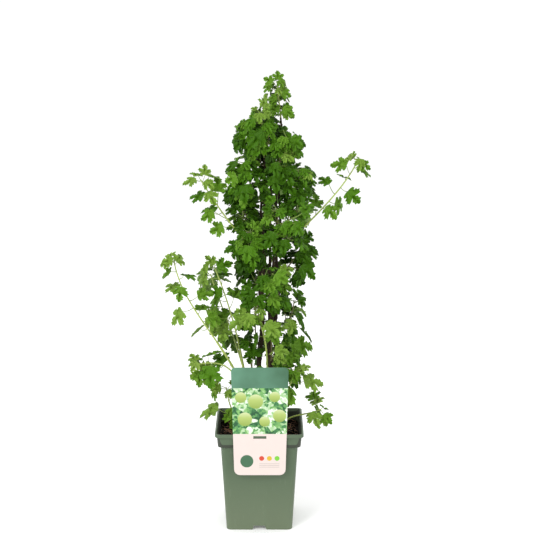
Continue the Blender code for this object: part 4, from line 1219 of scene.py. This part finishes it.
# %% Blade pattern
HALF_BLADE = ((0.00, 0.03), (0.00, 0.20), (0.06, 0.40), (0.15, 0.43), (0.21, 0.29), (0.26, 0.51),
              (0.35, 0.46), (0.45, 0.61), (0.51, 0.50), (0.61, 0.50), (0.59, 0.35), (0.48, 0.12),
              (0.66, 0.27), (0.74, 0.21), (0.85, 0.26), (0.88, 0.12), (0.98, 0.11))
BLADE_TIP = (1.02, 0.0)
BASE, MIDDLE, TOP, LOBE, EAR, LOBE_2, EAR_2 = range(35, 42)
VEIN_POINTS = ((0.08, 0.0), (0.42, 0.0), (0.74, 0.0),
               (0.37, 0.30), (0.09, 0.22), (0.37, -0.30), (0.09, -0.22))
VEIN_LIFTS = (-0.040, -0.110, -0.090, -0.075, -0.040, -0.075, -0.040)
EDGE_FANS = (EAR,) * 4 + (LOBE,) * 7 + (TOP,) * 6
VEIN_FACES = ((0, BASE, EAR), (4, EAR, LOBE), (11, LOBE, MIDDLE), (11, MIDDLE, TOP),
              (BASE, EAR, LOBE), (BASE, LOBE, MIDDLE))
OTHER_HALF = {LOBE: LOBE_2, EAR: EAR_2, BASE: BASE, MIDDLE: MIDDLE, TOP: TOP}
NOTCHES, TEETH, NOTCH_LIFT = (4, 11, 23, 30), (2, 7, 17, 27, 32), 0.060
BLADE_THICK, BLADE_RISE = 0.012, 0.08

outline = np.array([*HALF_BLADE, BLADE_TIP, *[(u, -v) for u, v in HALF_BLADE[::-1]]])
rim_count = len(outline)
flat = np.concatenate((outline, VEIN_POINTS))
pattern = np.concatenate((flat, VEIN_POINTS))


def mirrored(index):
    return OTHER_HALF.get(index, rim_count - 1 - index)


half_faces = [(i, i + 1, fan) for i, fan in enumerate(EDGE_FANS)] + list(VEIN_FACES)
blade_top = np.array(half_faces + [tuple(map(mirrored, face)) for face in half_faces]
                     + [(rim_count - 1, 0, BASE)])
a, b, c = (flat[blade_top[:, i]] for i in range(3))
turned = (b - a)[:, 0] * (c - a)[:, 1] - (b - a)[:, 1] * (c - a)[:, 0] > 0
blade_top[turned] = blade_top[turned][:, ::-1]
blade_bottom = np.where(blade_top >= rim_count, blade_top + len(VEIN_POINTS), blade_top)[:, ::-1]
blade_faces = np.concatenate((blade_top, blade_bottom))
print("blade: points", len(pattern), "faces", len(blade_faces))


# %% Blades of all leaves
ARCHES, CUPS, FOLDS, TWISTS = (0.06, 0.42), (-0.10, 0.38), (-0.06, 0.22), (-0.24, 0.24)
BLADE_WIDTHS, RIM_CHANCE, LIFT_CHANCE = (0.84, 1.08), 0.014, 0.012
STALK_STATIONS, STALK_SAGS, STALK_RADII = 5, (0.02, 0.16), (0.00075, 0.00048)


def blades(leaves, draw):
    """All blades at once, each point at foot + length (u forward + v sideways + h normal).

    The height h bends the blade: rise u - arch u^2 - cup v^2 + fold |v| + twist u v + the
    pattern's own lift. Each leaf has its own arch, cup, fold and twist.
    """
    _, foot, sideways, forward, normal, length = (np.array(part) for part in zip(*leaves))
    count = len(leaves)
    lift = np.concatenate((np.zeros(rim_count), VEIN_LIFTS, VEIN_LIFTS))
    lift[list(NOTCHES)] = NOTCH_LIFT
    lift[list(TEETH)] = -NOTCH_LIFT
    thick = np.repeat((0, 0.5, -0.5), (rim_count, len(VEIN_POINTS), len(VEIN_POINTS))) * BLADE_THICK
    rim = thick == 0
    arch, cup, fold, twist, width = (draw.uniform(*limits, (count, 1)) for limits in
                                     (ARCHES, CUPS, FOLDS, TWISTS, BLADE_WIDTHS))
    u, v = (line + RIM_CHANCE * draw.normal(size=(count, len(line))) * rim for line in pattern.T)
    height = BLADE_RISE * u - arch * u * u - cup * v * v + fold * np.abs(v) + twist * u * v
    height = height + lift + thick
    height = height + LIFT_CHANCE * draw.normal(size=height.shape) * rim
    local = u[..., None] * forward[:, None]
    local = local + (v * width)[..., None] * sideways[:, None] + height[..., None] * normal[:, None]
    return repeated(foot[:, None] + length[:, None, None] * local, [blade_faces])


def stalks(leaves, draw):
    """Leaf stalks: from twig to blade, bowed downwards by a share of their length."""
    root, foot = (np.array(part) for part in list(zip(*leaves))[:2])
    t = np.linspace(0, 1, STALK_STATIONS)[:, None]
    run = foot - root
    sag = draw.uniform(*STALK_SAGS, (len(leaves), 1)) * np.linalg.norm(run, axis=1, keepdims=True)
    paths = root[:, None] + t * run[:, None] - np.sin(np.pi * t) * sag[:, None] * UP
    return tubes(paths, np.linspace(*STALK_RADII, STALK_STATIONS), 4)


# %% [markdown]
# Which green a leaf is dealt depends on where it is: deep in the column it is dark, which is
# painted shade, on the outside it is middle or bright, and on the arching shoots and near every
# tip it is fresh.

# %% Greens by spray
YOUNG_ABOVE, YOUNG_LEVEL, YOUNG_SPREAD = 0.70, 2.6, 1.9
END_COUNT, END_LIFT = 4, 0.9
LEAF_SMOOTH_BELOW = 26
COLUMN_DEPTHS, COLUMN_LEVELS, COLUMN_SPREADS = (0.2, 0.9), (-0.3, 1.7), (2.8, 0.4)


def deal_green(name, number, leaf, order, last):
    """The number of a leaf's green, from its depth in the crown and its place on its spray."""
    foot = leaf[1]
    roll = chance(number, order, 77)
    if upright(name) and foot[2] <= YOUNG_ABOVE:
        # Painted shade: the deeper a leaf sits in the column, the darker its green.
        depth = np.linalg.norm((foot - crown_axis(foot[2]))[:2]) / crown_half(foot[2])
        level = np.interp(depth, COLUMN_DEPTHS, COLUMN_LEVELS)
        level += COLUMN_SPREADS[0] * roll ** 2 + COLUMN_SPREADS[1] * roll
    else:
        level = YOUNG_LEVEL + YOUNG_SPREAD * roll + END_LIFT * (order > last - END_COUNT)
    return int(np.clip(level, 0, len(GREENS) - 1))


leaf_draw = np.random.default_rng(SEED)
masses = list(grown)
all_leaves, greens = [], []
for number, (name, (_, leaves)) in enumerate(grown.items()):
    all_leaves += leaves
    greens += [deal_green(name, number, leaf, i, len(leaves) - 1) for i, leaf in enumerate(leaves)]
greens = np.array(greens)
unders = np.where(greens >= LEAF_NAMES.index("fresh"),
                  LEAF_NAMES.index("under_young"), LEAF_NAMES.index("under"))
slots = np.stack((greens, unders), 1).repeat(len(blade_top), axis=1).ravel()
blade_map = np.tile(pattern, (len(all_leaves), 1))
leaf_shape = blades(all_leaves, leaf_draw)
leaf_piece = piece("leaves", leaf_shape, leaf_finishes, slots, LEAF_SMOOTH_BELOW, blade_map)
place(leaf_piece, "foliage", *masses)
place(piece("leaf_stalks", stalks(all_leaves, leaf_draw), [stalk_green]), "foliage", *masses)
print("leaves of each green:", dict(zip(GREENS, np.bincount(greens, minlength=len(GREENS)).tolist())))


# %% Twigs
SIDE_TWIG_STATIONS, SIDE_TWIG_RADII, SIDE_TWIG_SAG = 6, (0.0011, 0.0007), 0.0014


def twig_shapes(names):
    """The spine of each mass, and its side twigs, straight but for a sag of half a sine wave."""
    shapes = []
    t = np.linspace(0, 1, SIDE_TWIG_STATIONS)[:, None]
    radii = np.linspace(*SIDE_TWIG_RADII, SIDE_TWIG_STATIONS)
    for name in names:
        shapes.append(spine_tube(spines[name][0], 7))
        for start, end in grown[name][0]:
            path = start + t * (end - start) - np.sin(np.pi * t) * (0, 0, SIDE_TWIG_SAG)
            shapes.append(tubes(path[None], radii, 6))
    return joined(*shapes)


column_masses = [name for name in masses if name[7:8].isdigit()]
young_masses = [name for name in masses if name not in column_masses]
place(piece("column_twigs", twig_shapes(column_masses), [twig_brown]), "foliage", *column_masses)
place(piece("young_twigs", twig_shapes(young_masses), [shoot_green]), "foliage", *young_masses)


# %% [markdown]
# ## The card
#
# The label is a stiff printed card. Its solid already has the right outline, slot and tongue,
# so it stays and only gets its print: a green band, round pale dots on a leafy ground, and a
# cream foot with a disc, three small dots and three strokes. The print is worked out from the
# place on the card, in metres. The back of the card is plain.

# %% Card finish
BAND_FOOT, PICTURE_FOOT = 0.2592, 0.1792
CARD_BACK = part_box("plant_label")[0].y + 0.0004
CARD_CREAM = (0.680, 0.585, 0.545)
DOTS = ((-0.031, 0.243, 0.0095), (-0.006, 0.236, 0.0125), (0.026, 0.244, 0.0090),
        (-0.024, 0.205, 0.0120), (0.009, 0.201, 0.0090), (0.034, 0.211, 0.0110))
FOOT_DOTS = ((-0.021, 0.131, 0.0110, (0.048, 0.130, 0.066)),
             (0.004, 0.136, 0.0042, (0.560, 0.060, 0.030)),
             (0.017, 0.136, 0.0042, (0.600, 0.400, 0.030)),
             (0.030, 0.136, 0.0042, (0.170, 0.500, 0.040)))
STROKES, STROKE_START, STROKE_END, STROKE_HALF = (0.1265, 0.1235, 0.1205), 0.000, 0.034, 0.0004


def card_finish():
    finish = Finish("card_print", {"Roughness": 0.32, "Specular IOR Level": 0.35})
    x, z = finish.axis(0), finish.axis(2)

    def disc(middle_x, middle_z, radius):
        """1 inside a circle on the card."""
        dx, dz = x - middle_x, z - middle_z
        return (dx * dx + dz * dz).below(radius * radius)

    large, small = (finish.part(finish.cells(scale, "F1", "Color")) for scale in (85.0, 230.0))
    shade = large * 0.42 + small * 0.30 + finish.noise(60.0, 2.0) * 0.34
    picture = finish.ramp(shade, (0.28, (0.016, 0.085, 0.030)), (0.42, (0.050, 0.200, 0.065)),
                          (0.54, (0.190, 0.420, 0.120)), (0.64, (0.400, 0.580, 0.330)),
                          (0.78, (0.760, 0.820, 0.720)))
    for middle_x, middle_z, radius in DOTS:
        sheen = finish.ramp((z - middle_z + radius) * (0.5 / radius), (0.0, (0.230, 0.330, 0.060)),
                            (0.6, (0.370, 0.470, 0.130)), (1.0, (0.540, 0.610, 0.330)))
        picture = finish.mix(disc(middle_x, middle_z, radius), picture, sheen)
    band = finish.ramp(finish.noise(26.0, 2.0) * 0.7 - x * 3.5, (0.10, (0.042, 0.118, 0.062)),
                       (0.60, (0.100, 0.240, 0.155)))
    colour = finish.mix(z.above(PICTURE_FOOT), CARD_CREAM, picture)
    colour = finish.mix(z.above(BAND_FOOT), colour, band)
    for middle_x, middle_z, radius, ink in FOOT_DOTS:
        colour = finish.mix(disc(middle_x, middle_z, radius), colour, ink)
    for level in STROKES:
        stroke = x.above(STROKE_START) * x.below(STROKE_END) * z.within(level, STROKE_HALF)
        colour = finish.mix(stroke * 0.6, colour, (0.25, 0.22, 0.20))
    colour = finish.mix(finish.axis(1).above(CARD_BACK), colour, CARD_CREAM)
    finish.paint(colour)
    finish.bump(finish.noise(1200.0), 0.15, 0.0001)
    return finish.material


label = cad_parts["plant_label"]
label.data.materials.clear()
label.data.materials.append(card_finish())

# %% [markdown]
# ## Floor and light
#
# The photograph has no background: white all round, with the soft light of a studio. A white
# floor under a white sky gives that, and three large lamps model the leaves. Standard colours
# are used, because a filmic curve would grey the white.

# %% Stage and lamps
def floor_finish():
    finish = Finish("studio_floor", {"Base Color": (0.90, 0.90, 0.90), "Roughness": 0.9,
                                     "Emission Color": (1, 1, 1), "Emission Strength": 0.14})
    finish.bump(finish.noise(40.0), 0.05, 0.001)
    return finish.material


FLOOR_HALF = 70.0
floor_points = FLOOR_HALF * np.array([(-1.0, -1, 0), (1, -1, 0), (1, 1, 0), (-1, 1, 0)])
piece("floor", (floor_points, [np.array([(0, 1, 2, 3)])]), [floor_finish()])

world = bpy.data.worlds.new("studio")
world.use_nodes = True
world.node_tree.nodes["Background"].inputs["Color"].default_value = (1.0, 1.0, 1.0, 1.0)
world.node_tree.nodes["Background"].inputs["Strength"].default_value = 1.0
bpy.context.scene.world = world
bpy.context.scene.view_settings.view_transform = "Standard"


def lamp(name, where, aim, size, power):
    """A square soft lamp that faces a point."""
    data = bpy.data.lights.new(name, "AREA")
    data.size = size
    data.energy = power
    made = bpy.data.objects.new(name, data)
    made.location = where
    made.rotation_euler = (Vector(aim) - Vector(where)).to_track_quat("-Z", "Y").to_euler()
    bpy.context.scene.collection.objects.link(made)


lamp("key", (-1.1, -1.9, 1.9), (0, 0, 0.45), 0.8, 34.0)
lamp("fill", (1.5, -1.7, 1.2), (0, 0, 0.40), 1.5, 3.0)
lamp("back", (0.4, 1.7, 1.8), (0, 0, 0.50), 1.2, 10.0)
